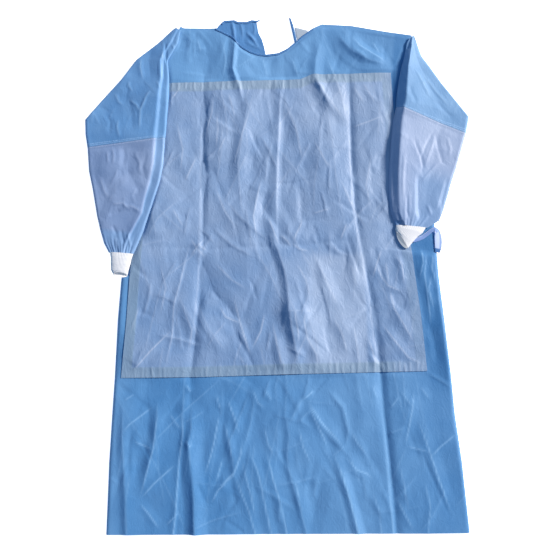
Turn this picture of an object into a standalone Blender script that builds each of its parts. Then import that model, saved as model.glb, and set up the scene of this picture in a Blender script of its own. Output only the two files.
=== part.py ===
"""A surgical gown laid flat on a table with its front up.

Units are metres, with +Z up. +Y points from the hem to the neck and +X to the right, as seen from
above. The origin is on the table, under the middle of the gown. The two back panels lie on the table,
the front lies over them, the reinforcement lies on the front, and the sleeves are flattened tubes that
lie partly on the front and partly on the table beside it.
"""

import bmesh
import bpy
import numpy as np

# Cloth and layering
MM = 0.001
WALL = 1.2 * MM
BACK_WALL = 1.0 * MM
SLEEVE_WALL = 1.5 * MM
TRIM_WALL = 1.0 * MM
GAP = 0.3 * MM
FRONT_MID = 4.6 * MM
LOWEST_MID = BACK_WALL + GAP + WALL / 2
BODY_TOP = FRONT_MID + WALL / 2 + GAP + WALL + GAP
SHOULDER_RUN = 20 * MM
SIDE_ROLL = 9 * MM
BACK_INSET = 15 * MM
BINDING_WIDTH = 6 * MM
TUBE_EDGE = 2 * SLEEVE_WALL + 0.6 * MM
LUMEN_INSET = 1.2 * SLEEVE_WALL
STEP_FROM = 14 * MM
STEP_RUN = 27 * MM

# Grid of the front: its rows, the heights in y that part them, and the panel's first and last column
SKIRT_ROWS = 14
PANEL_ROWS = 26
YOKE_ROWS = 6
HEM_Y, PANEL_BOTTOM_Y, PANEL_TOP_Y, NECK_Y = -630 * MM, -280 * MM, 460 * MM, 602 * MM
SHOULDER_Y = 607 * MM
PANEL_LEFT_COLUMN = 2
PANEL_RIGHT_COLUMN = -3
SIDE_FLANKS = 16 * MM, 22 * MM
LAST_COLUMNS = 2
COLUMN_FLANKS = (
    # guide column, left flank, right flank, columns before it
    (4, 18, 15, 2),
    (5, 17, 9, 1),
    (6, 14, 15, 2),
    (7, 18, 15, 4),
)

# Edges of the body, all in millimetres
HEM_LINE = (
    # x, y
    (-383, -632),
    (427, -628),
)
PANEL_BOTTOM_LINE = (
    # x, y
    (-368, -288),
    (-181, -286),
    (7, -280),
    (348, -272),
)
PANEL_TOP_LINE = (
    # x, y
    (-300, 446),
    (56, 457),
    (85, 470),
    (288, 476),
)
TOP_LINE = (
    # x, y: left shoulder, neck scoop, right shoulder
    (-251, 607),
    (-242, 602),
    (-159, 601),
    (-118, 579),
    (-106, 564),
    (-90, 549),
    (-70, 537),
    (-51, 530),
    (-28, 527),
    (1, 531),
    (24, 543),
    (46, 562),
    (63, 579),
    (91, 601),
    (114, 613),
    (189, 609),
    (280, 592),
    (346, 582),
)
GUIDES = (
    # y, left edge, panel left, side fold, left packing fold, yoke fold,
    # centre fold, right packing fold, panel right, right edge
    (-630, -383, -371, -336, -185, -70, 64, 263, 392, 427),
    (-480, -384, -369, -349, -198, -75, 24, 253, 375, 418),
    (-374, -382, -366, -355, -203, -80, 20, 244, 365, 407),
    (-288, -380, -364, -345, -203, -85, 60, 239, 347, 403),
    (-151, -379, -357, -338, -190, -88, 33, 227, 337, 393),
    (-54, -375, -354, -335, -183, -90, 24, 214, 327, 385),
    (41, -375, -350, -330, -181, -90, 2, 198, 318, 382),
    (140, -377, -349, -329, -183, -90, 0, 187, 308, 377),
    (244, -378, -340, -320, -185, -90, 3, 182, 296, 367),
    (330, -345, -325, -305, -187, -88, 7, 182, 292, 320),
    (390, -325, -308, -288, -187, -88, 9, 181, 289, 315),
    (450, -305, -290, -270, -188, -100, 20, 181, 287, 315),
    (512, -282, -265, -245, -180, -114, 12, 182, 288, 325),
    (607, -251, -235, -220, -165, -108, 10, 185, 300, 346),
)
UNDERARM = 260 * MM
UNDERARM_RUN = 40 * MM
NECK_FROM, NECK_TO = -150 * MM, 113 * MM
NECK_RUN, NECK_MARGIN = 30 * MM, 20 * MM
BINDING_REACH = 5 * MM

# Largest folds of the front: crest or trough line, its height and how far each flank runs.
# Each fades out over a share of its length at both ends, unless it runs off the hem.
FOLD_FADE = 0.22
OFF_THE_HEM = -625 * MM
TROUGH_SHARES = (0.0, 1.0, 2.5)
TROUGH_DEPTHS = (1.0, -0.8, 0.0)
FOLDS = (
    # height, left flank, right flank, line of (x, y)
    (9, 17, 44, ((-356, -330), (-355, -423), (-348, -486), (-341, -557), (-336, -640))),
    (-2.5, 16, 13, ((-188, 470), (-186, 296), (-183, 166), (-181, 10))),
    (-2.6, 17, 18, ((-181, 20), (-184, -72), (-193, -179), (-203, -283), (-203, -330))),
    (8, 22, 30, ((-201, -330), (-198, -401), (-203, -436), (-194, -506), (-189, -557), (-185, -640))),
    (5, 10, 14, ((20, 480), (9, 402), (6, 306), (2, 225), (0, 135), (3, 30))),
    (8, 18, 60, ((-9, 60), (24, -14), (25, -106), (40, -200), (56, -254), (63, -310))),
    (-2.6, 17, 15, ((182, 500), (181, 402), (182, 243), (186, 141), (200, 38), (210, -20))),
    (-2.6, 18, 15, ((198, 60), (223, -115), (239, -274), (243, -358), (253, -475), (264, -640))),
    (5, 18, 8, ((-108, 620), (-108, 561), (-114, 484), (-97, 435), (-86, 380))),
    (6, 18, 22, ((160, 590), (190, 539), (223, 517), (285, 492))),
    (6, 22, 20, ((114, 580), (97, 511), (94, 462), (121, 402), (160, 335))),
    (-2.2, 12, 20, ((49, 200), (57, 135), (57, 90), (33, 25))),
    (5, 12, 26, ((7, -330), (16, -365), (25, -416), (20, -465), (29, -512), (47, -568), (66, -640))),
    (5, 14, 18, ((98, -375), (148, -443), (127, -460), (145, -506), (165, -574), (181, -640))),
    (5, 14, 14, ((105, -305), (148, -354), (160, -409), (152, -460))),
    (3, 20, 30, ((-279, -330), (-277, -381), (-283, -447), (-295, -491), (-312, -565))),
)

# Sleeves: outer edge, long fold and inner edge of each cross rib, with the fold's height.
# The upper layer swells off its outer edge, climbs to the fold, drops to a ledge and falls to its inner
# edge. A fold that stands over its ledge by more than STEEP_DROP falls straight to its foot instead.
# A lower part starts where its upper part ends, and a cuff where its sleeve ends, a seam's gap further on.
SLEEVE_STEPS = 16
FALL_STEPS = 4
SWELL_SHARES = (0.07, 0.35)
SWELL_HEIGHTS = (8, 11)
INNER_EDGE_HEIGHT = 10.1
STEEP_DROP = 6
DROP_RUN = 4 * MM
LEFT_UPPER_RIBS = (
    # outer x, outer y, inner x, inner y, fold's share of the width, fold height, ledge height
    (-264, 600, -250, 592, 0.50, 10.5, 10.3),
    (-306, 561, -255, 556, 0.62, 13, 11.5),
    (-362, 513, -280, 508, 0.78, 15, 12),
    (-398, 458, -275, 461, 0.84, 17, 13),
    (-451, 393, -274, 409, 0.86, 18, 13.5),
    (-484, 350, -277, 353, 0.88, 18, 13.5),
    (-481, 312, -278, 321, 0.87, 18, 13.5),
    (-474, 276, -280, 300, 0.87, 18, 13.5),
)
LEFT_LOWER_RIBS = (
    # outer x, outer y, inner x, inner y, fold's share of the width, fold height, ledge height
    (-467, 215, -282, 231, 0.86, 17, 13.5),
    (-456, 171, -290, 184, 0.84, 16, 13),
    (-448, 133, -302, 143, 0.83, 15, 13),
    (-441, 100, -312, 105, 0.84, 15, 12.5),
    (-432, 67, -324, 64, 0.74, 15, 12.5),
    (-421, 33, -338, 27, 0.66, 15.5, 13.5),
    (-408, 10, -346.5, 5.5, 0.60, 15, 14),
)
RIGHT_UPPER_RIBS = (
    # outer x, outer y, inner x, inner y, fold's share of the width, fold height, foot height
    (350, 578, 338, 571, 0.50, 10.5, 10.3),
    (356, 560, 330, 556, 0.55, 14, 10.3),
    (368, 524, 322, 518, 0.72, 19, 10.3),
    (387, 495, 313, 487, 0.79, 22, 10.3),
    (415, 450, 306, 455, 0.83, 25, 10.3),
    (447, 405, 300, 420, 0.86, 27, 10.3),
    (480, 358, 297, 396, 0.89, 28, 10.3),
    (470, 313, 296, 380, 0.91, 28, 10.3),
)
RIGHT_LOWER_RIBS = (
    # outer x, outer y, inner x, inner y, fold's share of the width, fold height, foot height
    (457, 272, 286, 340, 0.89, 28, 10.3),
    (442, 226, 280, 291, 0.88, 28, 10.3),
    (427, 185, 275, 238, 0.87, 27, 10.3),
    (417, 153, 271, 187, 0.85, 25, 10.3),
    (404, 117, 270, 141, 0.83, 22, 10.3),
    (391, 88, 273, 109, 0.83, 19, 10.5),
    (362, 70, 285, 77, 0.75, 16, 11),
)
GATHER_WAVES = 5
GATHER_DEPTH = 1.1 * MM
GATHER_FROM = 0.45

# Cuffs: outer and inner edge of each ring, its height, and how far each lip bows towards the hand
CUFF_STEPS = 12
CUFF_ROUNDNESS = 0.7
CUFF_ARCH = 0.5 * MM
CUFF_SHARES = (0.06, 0.99)
CUFF_SEAM_HEIGHT = 15
LEFT_CUFF_RINGS = (
    # outer x, outer y, inner x, inner y, crown height, lower lip, upper lip
    (-401, -4, -351, -7, 16, 0, 0),
    (-400, -19, -353, -20, 16, 0, 0),
    (-399, -34, -357, -36, 15, 0, 0),
    (-393, -44, -359, -48, 14, 3, -3),
)
RIGHT_CUFF_RINGS = (
    # outer x, outer y, inner x, inner y, crown height, lower lip, upper lip
    (349, 57, 285, 71, 17, 1, 0),
    (336, 47, 284, 66, 17, 3, 0),
    (324, 34, 285, 62, 17, 6, 0),
    (312, 19, 289, 60, 16, 9, 0),
)

# Back panels, seen from above, without the sides that follow the front at these heights
BACK_SIDE_ROWS = (570, 512, 450, 390, 330, 270, 244, 140, 41, -151, -374, -627)
LEFT_SHOULDER = ((-232, 594),)
RIGHT_SHOULDER = ((189, 600), (280, 583), (325, 576))
LEFT_BACK_NECK = (
    # x, y: from the shoulder round the neck edge and down the opening to the hem
    (-162, 595),
    (-152, 611),
    (-139, 623),
    (-113, 625),
    (-103, 620),
    (-81, 620),
    (-67, 625),
    (-55, 622),
    (-49, 584),
    (-41, 570),
    (-35, 549),
    (-32, 534),
    (-25, 459),
    (-17, 142),
    (-12, -223),
    (-7, -627),
)
RIGHT_BACK_NECK = (
    # x, y: from the hem up the opening and round the neck edge to the shoulder
    (49, -625),
    (49, 459),
    (47, 556),
    (63, 572),
    (91, 594),
    (112, 604),
)

# Neck trim and waist tie
LEFT_TAPE = (
    # x, y: top edge of the tape, which runs out past the panel as a loose end
    (-147, 616.5),
    (-139, 624),
    (-113, 626),
    (-103, 621),
    (-81, 621),
    (-67, 626),
    (-55, 624),
    (-46, 627),
)
LEFT_TAPE_WIDTHS = (6, 6, 6, 6, 6, 6, 5, 2)
RIGHT_TAPE = (
    # x, y: middle of the loose tape
    (48, 548),
    (46, 566),
    (42, 586),
    (37, 610),
    (31, 632),
)
RIGHT_TAPE_WIDTHS = (7, 7, 7, 7, 4)
TAB_OUTLINE = (
    # x, y
    (51, 566),
    (47, 580),
    (43, 606),
    (76, 597),
    (84, 585),
    (66, 566),
)
TIE_SECTIONS = (
    # x, y, z, half width, tilt in degrees
    (326, 38, 5.5, 4, 0),
    (337, 42, 5.5, 5, 0),
    (349, 47, 5.6, 5, 3),
    (360, 55, 6.1, 5, 6),
    (370, 63, 6.4, 5, 8),
    (380, 68, 7, 5, 15),
    (388, 62, 7.5, 6, 30),
    (392.5, 50, 7.5, 7, 35),
    (393.5, 36, 7.5, 7, 35),
    (391.5, 22, 7, 6, 35),
    (387.5, 10, 6.5, 5, 30),
)


def srgb(red, green, blue):
    """Linear colour from 0 to 255 display values."""
    share = np.array([red, green, blue]) / 255.0
    linear = np.where(share <= 0.04045, share / 12.92, ((share + 0.055) / 1.055) ** 2.4)
    return (*linear, 1.0)


BLUE = srgb(96, 143, 197)
LAVENDER = srgb(136, 162, 202)
KNIT_WHITE = srgb(232, 234, 238)
BINDING_BLUE = srgb(52, 104, 168)
TAB_WHITE = srgb(214, 222, 234)
TIE_BLUE = srgb(150, 176, 216)


def line_at(line, x):
    """Height in y of a line of (x, y) millimetre points at x, in metres."""
    points = np.array(line, float) * MM
    return np.interp(x, points[:, 0], points[:, 1])


def guide_at(column, y):
    """x of one of the guide lines at y, in metres."""
    rows = np.array(GUIDES, float) * MM
    return np.interp(y, rows[:, 0], rows[:, column])


def smooth(share):
    """Ramp from 0 to 1 that starts and ends level."""
    share = np.clip(share, 0.0, 1.0)
    return share * share * (3.0 - 2.0 * share)


def fold_height(x, y, height, left_flank, right_flank, line):
    """Height that one fold adds at each point, fading out at both ends of its line.

    A crest is a tent across the line. A trough, with a negative height, swells up again on both sides.
    """
    points = np.array(line, float) * MM
    best = np.full(np.shape(x), np.inf)
    side = np.zeros(np.shape(x))
    travel = np.zeros(np.shape(x))
    lengths = np.hypot(*np.diff(points, axis=0).T)
    total = lengths.sum()
    done = 0.0
    for start, end, length in zip(points[:-1], points[1:], lengths):
        along = (end - start) / length
        offset_x, offset_y = x - start[0], y - start[1]
        reach = np.clip(offset_x * along[0] + offset_y * along[1], 0.0, length)
        away_x, away_y = offset_x - reach * along[0], offset_y - reach * along[1]
        distance = np.hypot(away_x, away_y)
        nearer = distance < best
        best = np.where(nearer, distance, best)
        side = np.where(nearer, away_x, side)
        travel = np.where(nearer, done + reach, travel)
        done += length
    share = best / (np.where(side > 0, right_flank, left_flank) * MM)
    tent = np.clip(1.0 - share, 0.0, 1.0)
    if height < 0:
        tent = np.interp(share, TROUGH_SHARES, TROUGH_DEPTHS)
    fade = FOLD_FADE * total
    ends = smooth(travel / fade) * smooth((total - travel) / fade)
    open_hem = points[:, 1].min() < OFF_THE_HEM
    ends = np.where(open_hem & (travel > total / 2), 1.0, ends)
    return height * MM * tent * ends


def relief(x, y):
    """Sum of the front's folds."""
    return sum(fold_height(x, y, *fold) for fold in FOLDS)


def front_middle(x, y):
    """Height of the middle of the front's wall."""
    below_top = line_at(TOP_LINE, x) - y
    neck = 1.0 - smooth((NECK_FROM - x) / NECK_RUN) - smooth((x - NECK_TO + NECK_MARGIN) / NECK_RUN)
    shoulder = (1.0 - smooth(below_top / SHOULDER_RUN)) * (1.0 - neck)
    height = FRONT_MID + relief(x, y) * (1.0 - shoulder)
    height += (LOWEST_MID - height) * shoulder
    inside = np.minimum(x - guide_at(1, y), guide_at(9, y) - x)
    roll = (1.0 - np.clip(inside / SIDE_ROLL, 0.0, 1.0)) * smooth((UNDERARM - y) / UNDERARM_RUN)
    return np.maximum(height, LOWEST_MID) * (1.0 - roll) + WALL / 2 * roll


def between(start, end, count):
    """Values evenly spaced between two others."""
    return list(np.linspace(start, end, count + 2)[1:-1])


def front_columns(y):
    """x of every column of the front's grid at one y, from the left edge to the right edge."""
    left, panel_left, side = (guide_at(column, y) for column in (1, 2, 3))
    panel_right, right = (guide_at(column, y) for column in (8, 9))
    stops = [left, left + SIDE_ROLL, panel_left]
    stops += [max(side - SIDE_FLANKS[0], (panel_left + side) / 2), side, side + SIDE_FLANKS[1]]
    for column, left_flank, right_flank, extra in COLUMN_FLANKS:
        fold = guide_at(column, y)
        before = fold - left_flank * MM
        stops += between(stops[-1], before, extra) + [before, fold, fold + right_flank * MM]
    stops += between(stops[-1], panel_right, LAST_COLUMNS)
    return stops + [panel_right, right - SIDE_ROLL, right]


def front_plan():
    """Plan position of the front's grid points, rows from the hem to the neck."""
    rows = []
    spans = (
        (SKIRT_ROWS, HEM_LINE, PANEL_BOTTOM_LINE, HEM_Y, PANEL_BOTTOM_Y),
        (PANEL_ROWS, PANEL_BOTTOM_LINE, PANEL_TOP_LINE, PANEL_BOTTOM_Y, PANEL_TOP_Y),
        (YOKE_ROWS, PANEL_TOP_LINE, TOP_LINE, PANEL_TOP_Y, NECK_Y),
    )
    for count, lower, upper, lower_y, upper_y in spans:
        lift = BINDING_WIDTH if upper is TOP_LINE else 0.0
        for share in np.arange(count) / count:
            x = np.array(front_columns(lower_y + (upper_y - lower_y) * share))
            y = line_at(lower, x) * (1 - share) + (line_at(upper, x) - lift) * share
            rows.append(np.stack([x, y], axis=1))
    for lift in (BINDING_WIDTH, 0.0):
        x = np.array(front_columns(SHOULDER_Y))
        rows.append(np.stack([x, line_at(TOP_LINE, x) - lift], axis=1))
    return np.array(rows)


def raised(plan, height):
    """Plan points with a height each."""
    return np.concatenate([plan, np.asarray(height)[..., None]], axis=-1)


def new_object(name, points, faces, colour, roughness):
    """Adds one solid with its own material, its faces turned outwards."""
    mesh = bpy.data.meshes.new(name)
    mesh.from_pydata([tuple(point) for point in points], [], faces)
    shape = bmesh.new()
    shape.from_mesh(mesh)
    bmesh.ops.recalc_face_normals(shape, faces=shape.faces)
    shape.to_mesh(mesh)
    shape.free()
    material = bpy.data.materials.new(name)
    material.use_nodes = True
    surface = material.node_tree.nodes["Principled BSDF"]
    surface.inputs["Base Color"].default_value = colour
    surface.inputs["Roughness"].default_value = roughness
    surface.inputs["Metallic"].default_value = 0.0
    mesh.materials.append(material)
    solid = bpy.data.objects.new(name, mesh)
    bpy.context.scene.collection.objects.link(solid)


def sheet(name, upper, lower, colour, roughness=0.8):
    """A closed wall between two grids of the same shape."""
    rows, columns = upper.shape[:2]
    points = np.concatenate([upper.reshape(-1, 3), lower.reshape(-1, 3)])
    under = rows * columns
    faces = []
    for row in range(rows - 1):
        for column in range(columns - 1):
            near = row * columns + column
            far = near + columns
            faces += [(near, near + 1, far + 1), (near, far + 1, far)]
            faces += [
                (under + near, under + far + 1, under + near + 1),
                (under + near, under + far, under + far + 1),
            ]
    numbers = np.arange(under).reshape(rows, columns).tolist()
    left, right = [row[0] for row in numbers], [row[-1] for row in numbers]
    for edge in (numbers[0], numbers[-1], left, right):
        for here, there in zip(edge, edge[1:]):
            faces.append((here, there, under + there, under + here))
    new_object(name, points, faces, colour, roughness)


def tube(name, outer, inner, colour, roughness=0.8):
    """A closed wall between two tubes of rings, open at both ends."""
    rings, around = outer.shape[:2]
    points = np.concatenate([outer.reshape(-1, 3), inner.reshape(-1, 3)])
    inside = rings * around
    faces = []
    for start in (0, inside):
        for ring in range(rings - 1):
            for step in range(around):
                here = start + ring * around + step
                there = start + ring * around + (step + 1) % around
                faces.append((here, there, there + around, here + around))
    for ring in (0, rings - 1):
        for step in range(around):
            here = ring * around + step
            there = ring * around + (step + 1) % around
            faces.append((here, there, inside + there, inside + here))
    new_object(name, points, faces, colour, roughness)


def plate(name, outline, bottom, top, colour, roughness=0.8):
    """A flat piece of even thickness with the given outline in metres."""
    count = len(outline)
    points = [(x, y, bottom) for x, y in outline] + [(x, y, top) for x, y in outline]
    faces = [tuple(range(count)), tuple(range(count, 2 * count))]
    for here in range(count):
        there = (here + 1) % count
        faces.append((here, there, count + there, count + here))
    new_object(name, points, faces, colour, roughness)


def support(x, y):
    """Height that a sleeve rests at: on the body inside its outline, on the table outside it."""
    outside = np.maximum(guide_at(1, y) - x, x - guide_at(9, y))
    return BODY_TOP * (1.0 - smooth((outside - STEP_FROM) / STEP_RUN))


def flat_tube(name, rings, stations, crown, lips, colour, arch=0.0):
    """A flattened tube through rings that run from an outer to an inner edge.

    rings holds the two edge points of each ring, stations the shares of the width where points go,
    crown the height of the upper layer there, lips how far each layer bows along the tube, and arch how
    far the lower layer lifts off its support along the middle.
    """
    outer_rings, inner_rings = [], []
    for (outer_edge, inner_edge), shares, heights, (low_lip, high_lip) in zip(rings, stations, crown, lips):
        across = inner_edge - outer_edge
        width = np.hypot(*across)
        forward = np.array([-across[1], across[0]]) / width
        forward *= -np.sign(forward[1])
        swell = np.sin(np.pi * shares)
        bow = swell[:, None] * forward
        inset = LUMEN_INSET / width
        squeezed = inset + shares * (1.0 - 2.0 * inset)
        for target, spots, shrink in ((outer_rings, shares, 0.0), (inner_rings, squeezed, SLEEVE_WALL)):
            plan = outer_edge + spots[:, None] * across
            low, high = plan + bow * low_lip, plan + bow * high_lip
            base = support(plan[:, 0], plan[:, 1])
            upper = raised(high, np.maximum(heights, base + TUBE_EDGE) - shrink)
            lower = raised(low, base + shrink + arch * swell)
            target.append(np.concatenate([upper, lower[::-1]]))
    tube(name, np.array(outer_rings), np.array(inner_rings), colour)


def past_seam(rib, shares=(0, 1)):
    """Outer and inner x and y between two shares of a rib's width, a seam's gap further down the sleeve."""
    outer, inner = np.array(rib[:2], float), np.array(rib[2:4], float)
    across = inner - outer
    forward = np.array([-across[1], across[0]]) / np.hypot(*across)
    forward *= -np.sign(forward[1]) * GAP / MM
    return (*(outer + across * shares[0] + forward), *(outer + across * shares[1] + forward))


def sleeve(name, ribs, colour, gathered):
    """One length of sleeve: rises from its outer edge to a long fold, then falls to its inner edge."""
    rings, stations, crown, lips = [], [], [], []
    for number, (outer_x, outer_y, inner_x, inner_y, fold, fold_top, ledge_top) in enumerate(ribs):
        edges = np.array([(outer_x, outer_y), (inner_x, inner_y)]) * MM
        width = np.hypot(*(edges[1] - edges[0]))
        ledge = fold + min(DROP_RUN / width, (1 - fold) / 2)
        climb = np.linspace(0, fold, SLEEVE_STEPS - FALL_STEPS)
        slope = np.linspace(ledge, 1, FALL_STEPS + 1)
        shares = np.concatenate([climb, slope])
        rise = np.interp(shares, (0, *SWELL_SHARES, fold), (TUBE_EDGE / MM, *SWELL_HEIGHTS, fold_top))
        fall = np.interp(shares, (fold, ledge, 1), (fold_top, ledge_top, INNER_EDGE_HEIGHT))
        if fold_top - ledge_top > STEEP_DROP:
            fall = np.interp(shares, (fold, 1), (fold_top, ledge_top))
        heights = np.where(shares <= fold, rise, fall) * MM
        if gathered:
            near_cuff = smooth((number / (len(ribs) - 1) - GATHER_FROM) / (1 - GATHER_FROM))
            heights += GATHER_DEPTH * near_cuff * np.sin(2 * np.pi * GATHER_WAVES * shares)
        rings.append(edges)
        stations.append(shares)
        crown.append(heights)
        lips.append((0.0, 0.0))
    flat_tube(name, rings, stations, crown, lips, colour)


def cuff(name, table):
    """A knit tube with a rounded upper layer and an open mouth."""
    rings, stations, crown, lips = [], [], [], []
    for outer_x, outer_y, inner_x, inner_y, top, low_lip, high_lip in table:
        shares = (1 - np.cos(np.linspace(0, np.pi, CUFF_STEPS + 1))) / 2
        rings.append(np.array([(outer_x, outer_y), (inner_x, inner_y)]) * MM)
        stations.append(shares)
        edge = BODY_TOP + TUBE_EDGE
        crown.append(edge + (top * MM - edge) * np.sin(np.pi * shares) ** CUFF_ROUNDNESS)
        lips.append((low_lip * MM, high_lip * MM))
    flat_tube(name, rings, stations, crown, lips, KNIT_WHITE, CUFF_ARCH)


def front_and_panel():
    """The front, the reinforcement made from its points, and the binding on its neck edge."""
    plan = front_plan()
    middle = front_middle(plan[..., 0], plan[..., 1])
    upper, lower = raised(plan, middle + WALL / 2), raised(plan, middle - WALL / 2)
    sheet("front", upper, lower, BLUE)
    rows = slice(SKIRT_ROWS, SKIRT_ROWS + PANEL_ROWS + 1)
    columns = slice(PANEL_LEFT_COLUMN, plan.shape[1] + PANEL_RIGHT_COLUMN + 1)
    ground = upper[rows, columns]
    lift = np.array([0, 0, 1])
    sheet("front_reinforcement", ground + lift * (GAP + WALL), ground + lift * GAP, LAVENDER)
    top_x = plan[-1, :, 0]
    neck = np.where((top_x > NECK_FROM - BINDING_REACH) & (top_x < NECK_TO))[0]
    ground = upper[-2:, neck[0] : neck[-1] + 1]
    sheet("neck_binding_front", ground + lift * (GAP + TRIM_WALL), ground + lift * GAP, BINDING_BLUE)


def side_line(column, inset):
    """Points down one side of the front, moved inwards, from the shoulder to the hem."""
    return [(guide_at(column, y * MM) + inset, y * MM) for y in BACK_SIDE_ROWS]


def in_metres(points):
    """A list of (x, y) millimetre points in metres."""
    return [(x * MM, y * MM) for x, y in points]


def backs():
    """Two flat panels on the table, under the front."""
    left = in_metres(LEFT_BACK_NECK) + side_line(1, BACK_INSET)[::-1] + in_metres(LEFT_SHOULDER)
    plate("back_left", left, 0.0, BACK_WALL, BLUE)
    right = in_metres(RIGHT_BACK_NECK + RIGHT_SHOULDER) + side_line(9, -BACK_INSET)
    plate("back_right", right, 0.0, BACK_WALL, BLUE)


def tape(name, points, widths, hang):
    """A flat strip beside or along a line of (x, y) points, on the back panels."""
    line = np.array(points, float) * MM
    along = np.gradient(line, axis=0)
    across = np.stack([along[:, 1], -along[:, 0]], axis=1) / np.hypot(*along.T)[:, None]
    spread = np.array(widths)[:, None] * MM * across
    first, second = line - spread * (1 - hang) / 2, line + spread * (1 + hang) / 2
    outline = list(map(tuple, first)) + list(map(tuple, second[::-1]))
    plate(name, outline, BACK_WALL + GAP, BACK_WALL + GAP + TRIM_WALL, BINDING_BLUE, 0.6)


def waist_tie():
    """A narrow strip that leaves the cuff, turns over and loops back to the side."""
    table = np.array(TIE_SECTIONS, float)
    middle = table[:, :3] * MM
    along = np.gradient(middle[:, :2], axis=0)
    along /= np.hypot(*along.T)[:, None]
    tilt = np.radians(table[:, 4])
    half = table[:, 3:4] * MM
    across = np.stack([along[:, 1] * np.cos(tilt), -along[:, 0] * np.cos(tilt), np.sin(tilt)], axis=1)
    out = np.stack([-along[:, 1] * np.sin(tilt), along[:, 0] * np.sin(tilt), np.cos(tilt)], axis=1)
    edges = np.stack([middle - across * half, middle + across * half], axis=1)
    thick = out[:, None, :] * TRIM_WALL
    sheet("waist_tie", edges + thick, edges, TIE_BLUE)


def main():
    for old in list(bpy.data.objects):
        bpy.data.objects.remove(old, do_unlink=True)
    backs()
    front_and_panel()
    arms = (
        ("left", LEFT_UPPER_RIBS, LEFT_LOWER_RIBS, LEFT_CUFF_RINGS),
        ("right", RIGHT_UPPER_RIBS, RIGHT_LOWER_RIBS, RIGHT_CUFF_RINGS),
    )
    for side, upper, lower, rings in arms:
        seam = (*past_seam(upper[-1]), *upper[-1][4:])
        wrist = (*past_seam(lower[-1], CUFF_SHARES), CUFF_SEAM_HEIGHT, 0, 0)
        sleeve(f"sleeve_{side}_upper", upper, BLUE, False)
        sleeve(f"sleeve_{side}_lower", (seam, *lower), LAVENDER, True)
        cuff(f"cuff_{side}", (wrist, *rings))
    tape("neck_binding_left", LEFT_TAPE, LEFT_TAPE_WIDTHS, 1.0)
    tape("neck_binding_right", RIGHT_TAPE, RIGHT_TAPE_WIDTHS, 0.0)
    tape_base = BACK_WALL + GAP
    plate("neck_tab", in_metres(TAB_OUTLINE), tape_base, tape_base + TRIM_WALL, TAB_WHITE)
    waist_tie()


main()
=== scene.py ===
"""A surgical gown laid flat with its front up, in its cloth, on a pale studio floor.

Tables are in millimetres in the frame of the solids: +X to the right, +Y from the hem to the neck, +Z up
from the surface that the gown lies on. Everything else is in metres. The sections follow the order in
which the gown is laid down: back panels, neck tapes, front, reinforcement, sleeves, cuffs and tie.
"""

import math

import bpy
import numpy as np
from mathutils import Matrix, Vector


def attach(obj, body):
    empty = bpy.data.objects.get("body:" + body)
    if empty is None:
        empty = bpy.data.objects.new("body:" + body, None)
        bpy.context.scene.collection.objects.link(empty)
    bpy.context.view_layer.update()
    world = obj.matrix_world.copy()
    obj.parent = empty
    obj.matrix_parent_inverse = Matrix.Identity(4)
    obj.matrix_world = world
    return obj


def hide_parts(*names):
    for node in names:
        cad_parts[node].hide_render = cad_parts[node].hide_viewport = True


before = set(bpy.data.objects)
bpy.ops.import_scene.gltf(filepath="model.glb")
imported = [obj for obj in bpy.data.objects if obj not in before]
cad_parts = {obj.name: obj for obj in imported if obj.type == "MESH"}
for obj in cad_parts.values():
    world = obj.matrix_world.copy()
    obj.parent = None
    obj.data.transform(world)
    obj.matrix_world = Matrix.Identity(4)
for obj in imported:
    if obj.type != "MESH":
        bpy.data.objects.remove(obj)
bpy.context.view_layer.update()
MM = 0.001


# The view: a camera 1.4 m over the gown, leaning ten degrees towards the neck, as in the photo.
CAMERA_PLACE, CAMERA_LEAN = (-0.00705, -0.29435, 1.4175), math.radians(10.0)
SENSOR_WIDTH, FOCAL_LENGTH = 36.0, 39.27
camera_data = bpy.data.cameras.new("camera")
camera_data.sensor_width = SENSOR_WIDTH
camera_data.lens = FOCAL_LENGTH
camera = bpy.data.objects.new("camera", camera_data)
camera.location = CAMERA_PLACE
camera.rotation_euler = (CAMERA_LEAN, 0.0, 0.0)
bpy.context.scene.collection.objects.link(camera)
bpy.context.scene.camera = camera


# The studio: one broad warm light low on the right brings out the creases, and an even bluish surround
# fills the shadows. The gown lies on a white floor, lit softly from all sides, before a white backdrop.
KEY_ELEVATION, KEY_BEARING, KEY_SPREAD = math.radians(27), math.radians(24), math.radians(12)
KEY_STRENGTH, KEY_COLOUR = 6.6, (1.0, 0.885, 0.77)
SURROUND_STRENGTH, SURROUND_BLUE, BACKDROP_WHITE = 0.42, (0.36, 0.62, 1.0, 1.0), (2.2, 2.2, 2.2, 1.0)
FLOOR_HALF, FLOOR_LEVEL, FLOOR_ROUGHNESS, FLOOR_GLOW = 4.0, -0.0004, 0.9, 0.9
FLOOR_COLOUR, FLOOR_GLOW_COLOUR = (0.97, 0.97, 0.97, 1.0), (1.0, 1.0, 1.0, 1.0)


def wired(tree, kind, settings, sockets):
    """Adds a shader node, sets its properties, and links or sets its inputs, each by its label or number."""
    node = tree.nodes.new(kind)
    for label, value in settings.items():
        setattr(node, label, value)
    for label, value in sockets.items():
        if hasattr(value, "node"):
            tree.links.new(value, node.inputs[label])
        else:
            node.inputs[label].default_value = value
    return node


def mixed(tree, share, first, second):
    """Colour between a first one and a second one, by the second one's share."""
    return wired(tree, "ShaderNodeMix", {"data_type": "RGBA"}, {0: share, 6: first, 7: second}).outputs[2]


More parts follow.
